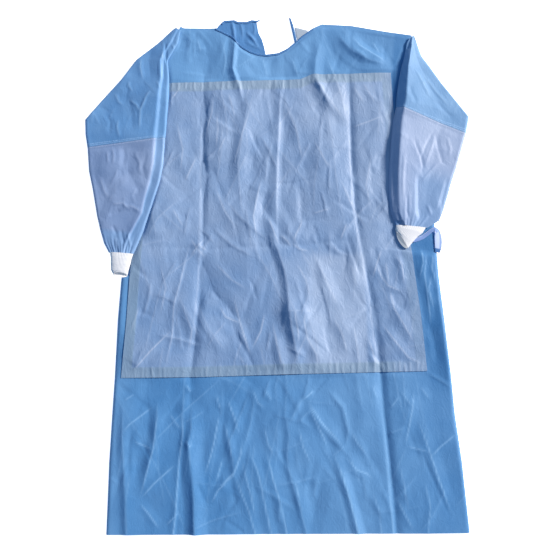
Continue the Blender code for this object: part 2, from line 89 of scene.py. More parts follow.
world = bpy.data.worlds.new("surround")
world.use_nodes = True
seen = world.node_tree.nodes.new("ShaderNodeLightPath").outputs["Is Camera Ray"]
backdrop = mixed(world.node_tree, seen, SURROUND_BLUE, BACKDROP_WHITE)
world.node_tree.links.new(backdrop, world.node_tree.nodes["Background"].inputs["Color"])
world.node_tree.nodes["Background"].inputs["Strength"].default_value = SURROUND_STRENGTH
bpy.context.scene.world = world
bpy.context.scene.view_settings.view_transform = "Standard"
key_data = bpy.data.lights.new("key", "SUN")
key_data.energy = KEY_STRENGTH
key_data.angle = KEY_SPREAD
key_data.color = KEY_COLOUR
key = bpy.data.objects.new("key", key_data)
towards_key = Vector((
    math.cos(KEY_ELEVATION) * math.cos(KEY_BEARING),
    math.cos(KEY_ELEVATION) * math.sin(KEY_BEARING),
    math.sin(KEY_ELEVATION),
))
key.rotation_euler = towards_key.to_track_quat("Z", "Y").to_euler()
bpy.context.scene.collection.objects.link(key)
floor_mesh = bpy.data.meshes.new("floor")
corners = [
    (side * FLOOR_HALF, end * FLOOR_HALF, FLOOR_LEVEL) for side, end in ((-1, -1), (1, -1), (1, 1), (-1, 1))
]
floor_mesh.from_pydata(corners, [], [(0, 1, 2, 3)])
floor = bpy.data.objects.new("floor", floor_mesh)
bpy.context.scene.collection.objects.link(floor)
floor_material = bpy.data.materials.new("floor")
floor_material.use_nodes = True
floor_surface = floor_material.node_tree.nodes["Principled BSDF"]
floor_surface.inputs["Base Color"].default_value = FLOOR_COLOUR
floor_surface.inputs["Roughness"].default_value = FLOOR_ROUGHNESS
floor_surface.inputs["Emission Color"].default_value = FLOOR_GLOW_COLOUR
floor_surface.inputs["Emission Strength"].default_value = FLOOR_GLOW
floor_mesh.materials.append(floor_material)


# Back panels: two plain blue panels that lie on the table and part down the middle of the back. Only
# their neck ends show, above the front's neckline, where the cloth is creased from its packing.
# Both are cut from one layer of soft nonwoven cloth.
BACK_HEIGHT, BACK_SPACING, BACK_WALL = 1.0, 0.004, 0.0007
BACK_LENGTH, BACK_WIDTH, BACK_HEM, BACK_NECK, BACK_SHOWS_FROM = 1.25, 0.36, -0.627, 0.620, 0.52
# Crest marks: the cloth is paler along crease crests, partly wear and partly painted highlight where the
# crests catch the light.
WEAR_AND_HIGHLIGHT_WIDTH, WEAR_AND_HIGHLIGHT_FULL_HEIGHT, STREWN_WEAR_AND_HIGHLIGHT = 1.7, 1.5, 0.42
END_FADE, HEM_EDGE = 0.3, -0.628
BLOTCH_SCALES, FIBRE_SCALE, FIBRE_STRETCH = (8.0, 26.0), 900.0, (1.0, 0.45, 1.0)
WRINKLE_SCALE, WRINKLE_STRETCH, WRINKLE_DEPTH = 85.0, (1.0, 0.5, 1.0), 0.004
DOT_SCALE, DOT_DEPTH = 620.0, 0.00012
LEFT_BACK_SIDE = (
    # y, x: outer edge, just inside the front's edge
    (-627, -368), (-374, -367), (-151, -364), (41, -360), (140, -362), (244, -363), (270, -350),
    (330, -330), (390, -310), (450, -290), (512, -267), (570, -248), (620, -232),
)
LEFT_BACK_OPENING = (
    # y, x: edge along the opening and up to the neck tape's end
    (-627, -7), (-223, -12), (142, -17), (459, -25), (534, -32), (549, -35), (570, -41), (584, -49),
    (620, -55),
)
LEFT_BACK_TOP = (
    # x, y: shoulder and neck edge
    (-232, 594), (-162, 595), (-152, 611), (-139, 623), (-113, 625), (-103, 620), (-81, 620),
    (-67, 625), (-55, 622),
)
LEFT_BACK_CREASES = (
    # height, left flank, right flank, line
    (2.4, 7, 5, ((-119, 628), (-113, 596), (-110, 560))),
    (1.4, 6, 6, ((-96, 622), (-90, 590), (-92, 566))),
    (1.8, 6, 6, ((-84, 598), (-68, 576), (-52, 566))),
    (1.6, 5, 6, ((-74, 588), (-60, 566), (-46, 548))),
    (1.4, 5, 5, ((-88, 572), (-66, 556), (-40, 544))),
    (1.3, 6, 5, ((-62, 622), (-58, 598), (-64, 576))),
)
RIGHT_BACK_OPENING = ((-627, 49), (459, 49), (556, 47), (600, 60), (620, 80))
RIGHT_BACK_SIDE = (
    (-627, 412), (-374, 392), (-151, 378), (41, 367), (140, 362), (244, 352), (270, 340), (330, 305),
    (390, 300), (450, 300), (512, 310), (570, 325), (620, 330),
)
RIGHT_BACK_TOP = ((47, 556), (63, 572), (91, 594), (112, 604), (189, 600), (280, 583), (330, 574))
BACK_BLUE, BACK_PALE = (0.065, 0.205, 0.46), (0.18, 0.38, 0.68)


def at(line, place):
    """Reads a table of (place, value) rows in millimetres at places in metres: straight between rows."""
    rows = np.array(line, float) * MM
    return np.interp(place, rows[:, 0], rows[:, 1])


def smooth(share):
    """Ramp from 0 to 1, level at both ends: three times the square less twice the cube."""
    share = np.clip(share, 0.0, 1.0)
    return share * share * (3.0 - 2.0 * share)


def ramp(place, start, run):
    """Smooth ramp from 0 at a start to 1 a run further on; a negative run makes it rise the other way."""
    return smooth((place - start) / run)


def crease(x, y, height, left, right, line, rounding, power):
    """Height of one crease and the pale mark along its crest, wear and painted highlight, at plan points x,
    y.

    The height falls off from the crease's line as (1 - distance / flank) to a power, with its own flank on
    each side, is rounded over the line, and fades to nothing at both ends, but not where the line leaves
    over the hem. A negative height is a trough, which gets no pale mark.
    """
    line = np.array(line, float) * MM
    reach = max(left, right) * MM
    near = (x > line[:, 0].min() - reach) & (x < line[:, 0].max() + reach)
    near &= (y > line[:, 1].min() - reach) & (y < line[:, 1].max() + reach)
    px, py = x[near], y[near]
    best = np.full(px.shape, np.inf)
    side, travel = np.zeros(px.shape), np.zeros(px.shape)
    run = line[-1] - line[0]
    facing = 1.0 if run[1] < 0 or (run[1] == 0 and run[0] > 0) else -1.0
    lengths = np.hypot(*np.diff(line, axis=0).T)
    done = 0.0
    for start, end, length in zip(line[:-1], line[1:], lengths):
        along = (end - start) / length
        from_x, from_y = px - start[0], py - start[1]
        reached = np.clip(from_x * along[0] + from_y * along[1], 0.0, length)
        away_x, away_y = from_x - reached * along[0], from_y - reached * along[1]
        distance = np.hypot(away_x, away_y)
        nearer = distance < best
        best = np.where(nearer, distance, best)
        side = np.where(nearer, facing * (away_y * along[0] - away_x * along[1]), side)
        travel = np.where(nearer, done + reached, travel)
        done += length
    softened = np.sqrt(best**2 + (rounding * MM) ** 2) - rounding * MM
    flank = np.where(side > 0, right, left) * MM
    fade = END_FADE * done
    ends = smooth(travel / fade) * smooth((done - travel) / fade)
    if line[:, 1].min() < HEM_EDGE:
        ends = np.where(travel > done / 2, 1.0, ends)
    rise, worn = np.zeros(x.shape), np.zeros(x.shape)
    rise[near] = height * MM * np.clip(1.0 - softened / flank, 0.0, 1.0) ** power * ends
    mark = np.exp(-((best / (WEAR_AND_HIGHLIGHT_WIDTH * MM)) ** 2)) * ends
    worn[near] = mark * np.clip(height / WEAR_AND_HIGHLIGHT_FULL_HEIGHT, 0.0, 1.0)
    return rise, worn


def creased(x, y, table, gain=1.0, spread=1.0, rounding=1.2, power=1.4):
    """Sum of a table's creases, heights times gain and flanks times spread, and the strongest wear and
    painted highlight.
    """
    rise, worn = np.zeros(x.shape), np.zeros(x.shape)
    for height, left, right, line in table:
        more, mark = crease(x, y, height * gain, left * spread, right * spread, line, rounding, power)
        rise, worn = rise + more, np.maximum(worn, mark)
    return rise, worn


def crumpled(x, y, low, high, count, seed, tallest, lengths, flanks, lean):
    """Creases strewn over a box: random place, length and height, mostly along the cloth, straight sided.

    Each stands between two flat facets, a narrow one and one up to three times as wide.
    """
    pick = np.random.default_rng(seed)
    rise, worn = np.zeros(x.shape), np.zeros(x.shape)
    for _ in range(count):
        start = pick.uniform(low, high)
        turn = math.pi / 2 + pick.normal(0.0, lean) * 2.0
        length = pick.uniform(*lengths)
        bend = pick.normal(0.0, 0.12)
        middle = start + length / 2 * np.array([math.cos(turn), math.sin(turn)])
        end = middle + length / 2 * np.array([math.cos(turn + bend), math.sin(turn + bend)])
        tall = tallest * pick.uniform(0.35, 1.0) * (1 if pick.random() < 0.6 else -1)
        narrow = pick.uniform(*flanks)
        pair = (narrow, narrow * pick.uniform(1.2, 3.0))
        if pick.random() < 0.5:
            pair = pair[::-1]
        more, mark = crease(x, y, tall, *pair, (start, middle, end), 0.5, 1.0)
        rise, worn = rise + more, np.maximum(worn, STREWN_WEAR_AND_HIGHLIGHT * mark)
    return rise, worn


def undulating(x, y, seed, size, depth):
    """Soft swells: a sum of eight sine waves of random direction, with wavelengths near a size."""
    pick = np.random.default_rng(seed)
    total = np.zeros(x.shape)
    for _ in range(8):
        turn, wave = pick.uniform(0, math.pi), size * pick.uniform(0.6, 1.8)
        phase = pick.uniform(0, 2 * math.pi)
        total += np.sin(2 * math.pi * (x * math.cos(turn) + y * math.sin(turn)) / wave + phase)
    return depth * MM * total / 4.0


def new_piece(name, points, faces, material, uv, **marks):
    """Makes a mesh object with smooth faces, a UV map in metres and one value per point for each mark."""
    mesh = bpy.data.meshes.new(name)
    mesh.from_pydata(points.tolist(), [], faces)
    mesh.materials.append(material)
    mesh.shade_smooth()
    mesh.set_sharp_from_angle(angle=math.radians(48))
    corners = np.empty(len(mesh.loops), np.int32)
    mesh.loops.foreach_get("vertex_index", corners)
    mesh.uv_layers.new(name="cloth").data.foreach_set("uv", uv[corners].astype(np.float32).ravel())
    for mark, values in marks.items():
        mesh.attributes.new(mark, "FLOAT", "POINT").data.foreach_set("value", values.astype(np.float32))
    piece = bpy.data.objects.new(name + "_cloth", mesh)
    bpy.context.scene.collection.objects.link(piece)
    return piece


def lowest_near(height, step):
    """Lowest height within step grid points, along rows and then along columns."""
    for axis in (0, 1):
        padding = [(0, 0), (0, 0)]
        padding[axis] = (step, step)
        wide = np.pad(height, padding, mode="edge")
        count = height.shape[axis]
        height = np.min([np.take(wide, range(k, k + count), axis) for k in range(2 * step + 1)], axis=0)
    return height


def cloth(name, top, wall, material, step=4, floor_height=None, uv=None, ends=True, **marks):
    """A thin sheet, closed or a tube. Its top is a grid, rows towards the neck and columns to the right.

    The underside has every step-th point, at the given floor height or else a wall below the lowest top
    point near it, and strips of many corners join the two along the long edges and, unless the piece is
    a tube, along its ends. Marks that aren't given are 0 all over.
    """
    rows, columns = top.shape[:2]
    marks = {"worn": np.zeros((rows, columns)), "paleness": np.zeros((rows, columns)), **marks}
    numbers = np.arange(rows * columns).reshape(rows, columns)
    under = top[::step, ::step].copy()
    if floor_height is None:
        floor_height = np.maximum(lowest_near(top[..., 2], step) - wall, 0.00005)
    if uv is None:
        uv = top[..., :2]
    under[..., 2] = floor_height[::step, ::step]
    below = rows * columns + np.arange(under.shape[0] * under.shape[1]).reshape(under.shape[:2])
    quads = np.stack([numbers[:-1, :-1], numbers[:-1, 1:], numbers[1:, 1:], numbers[1:, :-1]], -1)
    backs = np.stack([below[:-1, :-1], below[1:, :-1], below[1:, 1:], below[:-1, 1:]], -1)
    faces = quads.reshape(-1, 4).tolist() + backs.reshape(-1, 4).tolist()
    edges = [(numbers[:, -1][::-1], below[:, -1][::-1]), (numbers[:, 0], below[:, 0])]
    if ends:
        edges += [(numbers[0][::-1], below[0][::-1]), (numbers[-1], below[-1])]
    for fine, coarse in edges:
        for k in range(len(coarse) - 1):
            faces.append([*fine[k * step : (k + 1) * step + 1].tolist(), int(coarse[k + 1]), int(coarse[k])])
    points = np.concatenate([top.reshape(-1, 3), under.reshape(-1, 3)])
    uv = np.concatenate([uv.reshape(-1, 2), uv[::step, ::step].reshape(-1, 2)])
    spread = {mark: np.concatenate([v.ravel(), v[::step, ::step].ravel()]) for mark, v in marks.items()}
    return new_piece(name, points, faces, material, uv, **spread)


def grid_steps(length, spacing, step):
    """Number of grid points over a length, one more than a multiple of step."""
    return step * max(2, round(length / spacing / step)) + 1


def new_group(name, sockets):
    """Starts a node group with input sockets of (label, kind, value); returns its tree and its inputs."""
    group = bpy.data.node_groups.new(name, "ShaderNodeTree")
    for label, kind, value in sockets:
        group.interface.new_socket(label, in_out="INPUT", socket_type=kind).default_value = value
    return group, group.nodes.new("NodeGroupInput").outputs


def puts_out(group, results):
    """Gives a node group one output socket for each (label, kind, value)."""
    for label, kind, value in results:
        group.interface.new_socket(label, in_out="OUTPUT", socket_type=kind)
    out = group.nodes.new("NodeGroupOutput")
    for label, kind, value in results:
        group.links.new(value, out.inputs[label])


def maths(tree, kind, *values):
    """Result of a sum on values or sockets."""
    return wired(tree, "ShaderNodeMath", {"operation": kind}, dict(enumerate(values))).outputs[0]


def nonwoven_group():
    """Soft nonwoven cloth: blotchy colour, painted light, wear and painted highlight on creases, fibres,
    embossed dots and wrinkles.
    """
    group, given = new_group("nonwoven", (
        ("Colour", "NodeSocketColor", (0.1, 0.25, 0.5, 1.0)),
        ("Pale", "NodeSocketColor", (0.3, 0.5, 0.8, 1.0)),
        ("Painted light", "NodeSocketFloat", 0.0),
        ("Wear and highlight", "NodeSocketFloat", 0.0),
        ("Blotch", "NodeSocketFloat", 0.12),
        ("Wrinkle", "NodeSocketFloat", 0.35),
    ))
    place = group.nodes.new("ShaderNodeTexCoord").outputs["Object"]

    def noise(scale, detail, stretch=(1.0, 1.0, 1.0), distortion=0.0):
        """Cloudy pattern of the cloth's own place, stretched along an axis and bent by a distortion."""
        stretched = wired(group, "ShaderNodeMapping", {}, {"Scale": stretch, "Vector": place}).outputs[0]
        return wired(group, "ShaderNodeTexNoise", {}, {
            "Scale": scale, "Detail": detail, "Distortion": distortion, "Vector": stretched,
        }).outputs["Fac"]

    wide = maths(group, "MULTIPLY", noise(BLOTCH_SCALES[0], 2.0), 0.6)
    narrow = maths(group, "MULTIPLY", noise(BLOTCH_SCALES[1], 5.0), 0.4)
    patches = maths(group, "MULTIPLY", maths(group, "ADD", wide, narrow), 3.0)
    patches = maths(group, "MAXIMUM", maths(group, "SUBTRACT", patches, 1.0), 0.0)
    fibres = maths(group, "MULTIPLY", noise(FIBRE_SCALE, 3.0, FIBRE_STRETCH), 0.16)
    colour = given["Colour"]
    # The colour pales by the painted light mark, the cloth's own blotches and fibres, and the crests' wear
    # and painted highlight.
    for share in (
        given["Painted light"],
        maths(group, "MULTIPLY", patches, given["Blotch"]),
        fibres,
        maths(group, "MULTIPLY", given["Wear and highlight"], 0.5),
    ):
        colour = mixed(group, share, colour, given["Pale"])
    folded = maths(group, "SUBTRACT", noise(WRINKLE_SCALE, 3.0, WRINKLE_STRETCH, 0.6), 0.5)
    wrinkles = maths(group, "ABSOLUTE", folded)
    crumple = wired(group, "ShaderNodeBump", {}, {
        "Distance": WRINKLE_DEPTH, "Strength": given["Wrinkle"], "Height": wrinkles,
    })
    dots = wired(group, "ShaderNodeTexVoronoi", {}, {"Scale": DOT_SCALE, "Vector": place})
    emboss = wired(group, "ShaderNodeBump", {}, {
        "Distance": DOT_DEPTH, "Strength": 0.5, "Height": dots.outputs["Distance"],
        "Normal": crumple.outputs["Normal"],
    })
    puts_out(group, (
        ("Colour", "NodeSocketColor", colour),
        ("Normal", "NodeSocketVector", emboss.outputs["Normal"]),
    ))
    return group


nonwoven = nonwoven_group()


def marked(tree, mark):
    """A piece's own value for each point, by the name of the mark."""
    return wired(tree, "ShaderNodeAttribute", {"attribute_name": mark}, {}).outputs["Fac"]


def cloth_material(name, colour, pale, roughness=0.62, sheen=0.08, blotch=0.12, wrinkle=0.24):
    """A finish of the nonwoven group, with the piece's own marks of painted light and of wear and painted
    highlight.
    """
    material = bpy.data.materials.new(name)
    material.use_nodes = True
    tree = material.node_tree
    surface = tree.nodes["Principled BSDF"]
    surface.inputs["Roughness"].default_value = roughness
    surface.inputs["Sheen Weight"].default_value = sheen
    surface.inputs["Sheen Roughness"].default_value = 0.5
    surface.inputs["Specular IOR Level"].default_value = 0.25
    weave = wired(tree, "ShaderNodeGroup", {"node_tree": nonwoven}, {
        "Colour": (*colour, 1.0), "Pale": (*pale, 1.0), "Blotch": blotch, "Wrinkle": wrinkle,
        "Painted light": marked(tree, "paleness"), "Wear and highlight": marked(tree, "worn"),
    })
    tree.links.new(weave.outputs["Colour"], surface.inputs["Base Color"])
    tree.links.new(weave.outputs["Normal"], surface.inputs["Normal"])
    return material


def back_panel(name, side, opening, top, creases, seed, material):
    """One back panel: rows between its two long edges, stretched up to its neck edge, 1 mm off the table."""
    rows, columns = grid_steps(BACK_LENGTH, BACK_SPACING, 4), grid_steps(BACK_WIDTH, BACK_SPACING, 4)
    t, s = np.meshgrid(np.linspace(0, 1, rows), np.linspace(0, 1, columns), indexing="ij")
    level = BACK_HEM + t * (BACK_NECK - BACK_HEM)
    x = at(side, level) * (1 - s) + at(opening, level) * s
    y = BACK_HEM + t * (at(top, x) - BACK_HEM)
    rise, worn = creased(x, y, creases)
    low, high = (x.min() / MM, 500), (x.max() / MM, 625)
    strewn = crumpled(x, y, low, high, 26, seed, 1.1, (18, 60), (5, 11), 0.35)[0]
    shows = ramp(y, BACK_SHOWS_FROM, 0.02)
    z = BACK_HEIGHT * MM + np.maximum((rise + strewn) * shows, -0.0004)
    # Its crests are paler: wear and painted highlight.
    piece = cloth(name, np.stack([x, y, z], -1), BACK_WALL, material, worn=worn * shows)
    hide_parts(name)
    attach(piece, "root")


back_material = cloth_material("back_cloth", BACK_BLUE, BACK_PALE, wrinkle=0.3)
back_panel(
    "back_left", LEFT_BACK_SIDE, LEFT_BACK_OPENING, LEFT_BACK_TOP, LEFT_BACK_CREASES, 11, back_material
)
back_panel(
    "back_right", RIGHT_BACK_OPENING, RIGHT_BACK_SIDE, RIGHT_BACK_TOP, (), 12, back_material
)


# Neck tapes and tab: two loose ends of a narrow dark blue tape that is folded over the back panels' neck
# edges and stitched through, and a pale hook-and-loop tab fastened to the end of the right one.
LEFT_TAPE = (
    # x, y of the top edge, width
    (-147, 616.5, 6), (-139, 624, 6), (-113, 626, 6), (-103, 621, 6), (-81, 621, 6), (-67, 626, 6),
    (-55, 624, 5), (-46, 627, 2),
)
RIGHT_TAPE = (
    # x, y of the middle, width
    (48, 548, 7), (46, 566, 7), (42, 586, 7), (37, 610, 7), (31, 632, 4),
)
TAB_LEFT, TAB_RIGHT, TAB_STEPS = ((51, 566), (47, 580), (43, 606)), ((66, 566), (84, 585), (76, 597)), 33
TAPE_BASE, TAPE_TOP = 1.35, 2.35
STITCHED_SHARE, THREAD_HALF, THREAD_RISE = 0.7, 0.0004, 0.0003
TAPE_BLUE, TAPE_THREAD = (0.045, 0.16, 0.40), (0.13, 0.31, 0.60)
TAB_GREY, TAB_PALE = (0.33, 0.41, 0.51), (0.5, 0.58, 0.68)


def along(line, count):
    """Evenly spaced points on a line of rows with any number of columns, by distance over the first two."""
    rows = np.array(line, float)
    travel = np.concatenate([[0.0], np.cumsum(np.hypot(*np.diff(rows[:, :2], axis=0).T))])
    places = np.linspace(0, travel[-1], count)
    return np.stack([np.interp(places, travel, column) for column in rows.T], 1), places


def stitch_group():
    """Two rows of stitches: dashes in U, each row a thin line at its own distance in V."""
    group, given = new_group("stitches", (
        ("First row", "NodeSocketFloat", 0.002),
        ("Second row", "NodeSocketFloat", 0.0045),
        ("Stitch", "NodeSocketFloat", 0.003),
    ))
    place = group.nodes.new("ShaderNodeTexCoord").outputs["UV"]
    split = wired(group, "ShaderNodeSeparateXYZ", {}, {0: place}).outputs
    stitch = maths(group, "FRACT", maths(group, "DIVIDE", split[0], given["Stitch"]))
    dash = maths(group, "LESS_THAN", stitch, STITCHED_SHARE)
    rows = []
    for label in ("First row", "Second row"):
        away = maths(group, "ABSOLUTE", maths(group, "SUBTRACT", split[1], given[label]))
        rows.append(maths(group, "LESS_THAN", away, THREAD_HALF))
    mask = maths(group, "MULTIPLY", dash, maths(group, "MAXIMUM", *rows))
    puts_out(group, (("Mask", "NodeSocketFloat", mask),))
    return group


stitches = stitch_group()


def stitched(material, thread, first, second=-1.0):
    """Lays rows of thread, raised a little, over a cloth material at one or two distances in V."""
    tree = material.node_tree
    colour, normal = (tree.nodes["Principled BSDF"].inputs[label] for label in ("Base Color", "Normal"))
    mask = wired(tree, "ShaderNodeGroup", {"node_tree": stitches}, {
        "First row": first, "Second row": second,
    }).outputs["Mask"]
    tree.links.new(mixed(tree, mask, colour.links[0].from_socket, (*thread, 1.0)), colour)
    raised = wired(tree, "ShaderNodeBump", {}, {
        "Distance": THREAD_RISE, "Height": mask, "Normal": normal.links[0].from_socket,
    })
    tree.links.new(raised.outputs["Normal"], normal)


def pillow(share, flatness=4):
    """Height share of a soft edge all across a strip: one less the distance from its middle to a power."""
    return 1.0 - np.abs(2.0 * share - 1.0) ** flatness


def tape(name, line, hang, material):
    """A narrow strip on its own line, its width hanging to the right of the line by a share from 0 to 1."""
    rows, travel = along(line, 121)
    rows = rows * MM
    run = np.gradient(rows[:, :2], axis=0)
    right = np.stack([run[:, 1], -run[:, 0]], 1) / np.hypot(*run.T)[:, None]
    s = np.linspace(0, 1, 13)[None, :]
    offset = (s - (1 - hang) / 2) * rows[:, 2:3]
    x, y = rows[:, 0:1] + right[:, 0:1] * offset, rows[:, 1:2] + right[:, 1:2] * offset
    waves = 0.12 * np.sin(travel[:, None] * 0.9) * pillow(s)
    z = (TAPE_BASE + (TAPE_TOP - TAPE_BASE) * (0.35 + 0.65 * pillow(s)) + waves) * MM
    uv = np.stack([travel[:, None] * MM + 0 * x, offset + 0 * x], -1)
    return cloth(
        name, np.stack([x, y, z], -1), 0.0, material, step=1, floor_height=np.full_like(z, TAPE_BASE * MM),
        uv=uv,
    )


tape_material = cloth_material(
    "tape_cloth", TAPE_BLUE, TAPE_THREAD, roughness=0.55, blotch=0.06, wrinkle=0.1
)
stitched(tape_material, TAPE_THREAD, 0.0012, 0.0048)
neck_binding_left = tape("neck_binding_left", LEFT_TAPE, 1.0, tape_material)
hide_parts("neck_binding_left")
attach(neck_binding_left, "root")
neck_binding_right = tape("neck_binding_right", RIGHT_TAPE, 0.0, tape_material)
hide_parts("neck_binding_right")
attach(neck_binding_right, "root")

tab_left, tab_right = along(TAB_LEFT, TAB_STEPS)[0] * MM, along(TAB_RIGHT, TAB_STEPS)[0] * MM
s = np.linspace(0, 1, TAB_STEPS)
tab_plan = tab_left[:, None, :] * (1 - s)[None, :, None] + tab_right[:, None, :] * s[None, :, None]
soft_edge = np.minimum(pillow(s, 10)[None, :], pillow(s, 10)[:, None])
tab_top = (TAPE_BASE + 0.25 + 0.75 * soft_edge) * MM
tab_material = cloth_material("tab_cloth", TAB_GREY, TAB_PALE, roughness=0.8, sheen=0.4, blotch=0.3)
neck_tab = cloth(
    "neck_tab", np.concatenate([tab_plan, tab_top[..., None]], -1), 0.0, tab_material, step=1,
    floor_height=np.full_like(tab_top, TAPE_BASE * MM),
)
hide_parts("neck_tab")
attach(neck_tab, "root")


# Front: the blue panel from the neck to the hem, folded round both sides to the back. It is cut from one
# layer of nonwoven, and keeps the creases of the packing that it came out of.
GUIDES = (
    # y, left edge, panel left, side fold, left packing fold, yoke fold,
    # centre fold, right packing fold, panel right, right edge
    (-630, -383, -371, -336, -185, -70, 64, 263, 392, 427),
    (-480, -384, -369, -349, -198, -75, 24, 253, 375, 418),
    (-374, -382, -366, -355, -203, -80, 20, 244, 365, 407),
    (-288, -380, -364, -345, -203, -85, 60, 239, 347, 403),
    (-151, -379, -357, -338, -190, -88, 33, 227, 337, 393),
    (-54, -375, -354, -335, -183, -90, 24, 214, 327, 385),
    (41, -375, -350, -330, -181, -90, 2, 198, 318, 382),
    (140, -377, -349, -329, -183, -90, 0, 187, 308, 377),
    (244, -378, -340, -320, -185, -90, 3, 182, 296, 367),
    (330, -345, -325, -305, -187, -88, 7, 182, 292, 320),
    (390, -325, -308, -288, -187, -88, 9, 181, 289, 315),
    (450, -305, -290, -270, -188, -100, 20, 181, 287, 315),
    (512, -282, -265, -245, -180, -114, 12, 182, 288, 325),
    (607, -251, -235, -220, -165, -108, 10, 185, 300, 346),
)
LEFT_EDGE, PANEL_LEFT, LEFT_FOLD, CENTRE_FOLD, RIGHT_FOLD, PANEL_RIGHT, RIGHT_EDGE = 1, 2, 4, 6, 7, 8, 9
FRONT_COLUMNS = (6, 8, 48, 32, 36, 60, 36, 18)
HEM_LINE = ((-383, -632), (427, -628))
PANEL_BOTTOM_LINE = ((-368, -288), (-181, -286), (7, -280), (348, -272))
PANEL_TOP_LINE = ((-300, 446), (56, 457), (85, 470), (288, 476))
TOP_LINE = (
    # x, y: left shoulder, neck scoop, right shoulder
    (-251, 607), (-242, 602), (-159, 601), (-118, 579), (-106, 564), (-90, 549), (-70, 537), (-51, 530),
    (-28, 527), (1, 531), (24, 543), (46, 562), (63, 579), (91, 601), (114, 613), (189, 609), (280, 592),
    (346, 582),
)
HEM, PANEL_BOTTOM, PANEL_TOP, TOP = (
    (HEM_LINE, -630), (PANEL_BOTTOM_LINE, -280), (PANEL_TOP_LINE, 460), (TOP_LINE, 605)
)
FRONT_SPANS = ((112, HEM, PANEL_BOTTOM), (124, PANEL_BOTTOM, PANEL_TOP), (48, PANEL_TOP, TOP), (1, TOP, TOP))
LEFT_COVER = (
    # y, x: inner edge of the left sleeve and cuff
    (-60, -420), (-48, -359), (5, -346), (64, -324), (105, -312), (143, -302), (184, -290), (231, -282),
    (300, -280), (409, -274), (461, -275), (508, -280), (556, -255), (600, -250),
)
RIGHT_COVER = (
    # y, x: inner edge of the right sleeve and cuff
    (0, 420), (19, 300), (60, 284), (77, 284), (109, 273), (141, 270), (187, 271), (238, 275), (291, 280),
    (340, 286), (396, 297), (455, 306), (487, 313), (518, 322), (560, 332), (600, 340),
)
FRONT_TOP, PANEL_LIFT, SLEEVE_FLOOR = 4.9, 1.2, 6.7
SHARP = (1.6, 0.5, 1.0)
VALLEY_DEPTH, VALLEY_REACH = 2.5, 0.015
MAIN_FOLDS = (
    # height, left flank, right flank, line
    (3.6, 15, 40, ((-356, -330), (-355, -423), (-348, -486), (-341, -557), (-336, -640))),
    (-2.5, 16, 13, ((-188, 470), (-186, 296), (-183, 166), (-181, 10))),
    (-2.6, 17, 18, ((-181, 20), (-184, -72), (-193, -179), (-203, -283), (-203, -330))),
    (9, 24, 30, ((-201, -330), (-198, -401), (-203, -436), (-194, -506), (-189, -557), (-185, -640))),
    (4.2, 22, 12, ((16, 480), (5, 402), (2, 306), (-2, 225), (-4, 135), (-1, 30))),
    (7.5, 19, 120, (
        (-38, 112), (-29, 84), (-14, 49), (0, 15), (14, -29), (22, -70), (26, -118), (29, -158), (37, -200),
        (47, -250), (58, -310),
    )),
    (-2.6, 17, 15, ((182, 500), (181, 402), (182, 243), (186, 141), (200, 38), (210, -20))),
    (-2.6, 18, 15, ((198, 60), (223, -115), (239, -274), (243, -358), (253, -475), (264, -640))),
    (5, 18, 8, ((-108, 620), (-108, 561), (-114, 484), (-97, 435), (-86, 380))),
    (8, 40, 50, ((150, 602), (166, 565), (192, 533), (235, 508), (292, 494))),
    (3.2, 95, 30, (
        (284, 452), (284, 396), (278, 340), (274, 291), (272, 238), (268, 187), (266, 141), (268, 109),
        (276, 40),
    )),
    (-3.6, 34, 30, ((-200, 0), (-179, -38), (-145, -96), (-118, -125), (-55, -190))),
    (3.4, 26, 34, ((-70, 440), (-84, 330), (-98, 230), (-90, 130), (-60, 40))),
    (4, 30, 12, ((378, -4), (381, -106), (396, -223), (405, -338))),
    (5, 110, 44, ((120, 440), (122, 380), (134, 300), (140, 220), (150, 130), (168, 60))),
    (4.6, 22, 22, ((114, 580), (97, 511), (94, 462), (121, 402), (160, 335))),
    (-2.2, 12, 20, ((49, 200), (57, 135), (57, 90), (33, 25))),
    (2.2, 12, 26, ((7, -330), (16, -365), (25, -416), (20, -465), (29, -512), (47, -568), (66, -640))),
    (1.6, 14, 18, ((98, -375), (148, -443), (127, -460), (145, -506), (165, -574), (181, -640))),
    (1.2, 8, 8, ((105, -305), (148, -354), (160, -409), (152, -460))),
    (3, 20, 30, ((-279, -330), (-277, -381), (-283, -447), (-295, -491), (-312, -565))),
)
PACKING_LINES = (
    # height, left flank, right flank, line
    (0.6, 6, 5, (
        (-190, 460), (-192, 296), (-190, 166), (-188, 23), (-191, -72), (-200, -179), (-210, -283),
    )),
    (0.7, 12, 5, ((176, 475), (175, 330), (180, 141), (194, 38), (217, -115), (233, -274), (237, -358))),
    (1.3, 12, 5, ((237, -350), (247, -475), (258, -640))),
    (1.2, 12, 4, (
        (-208, 55), (-221, -9), (-232, -62), (-246, -117), (-248, -191), (-259, -254), (-268, -283),
    )),
    (1.4, 14, 5, ((-217, -320), (-218, -423), (-224, -475), (-229, -587), (-234, -640))),
    (-0.9, 9, 9, (
        (-369, 30), (-308, 23), (-236, 21), (-180, 16), (-91, 23), (44, 25), (109, 33), (264, 50),
    )),
)
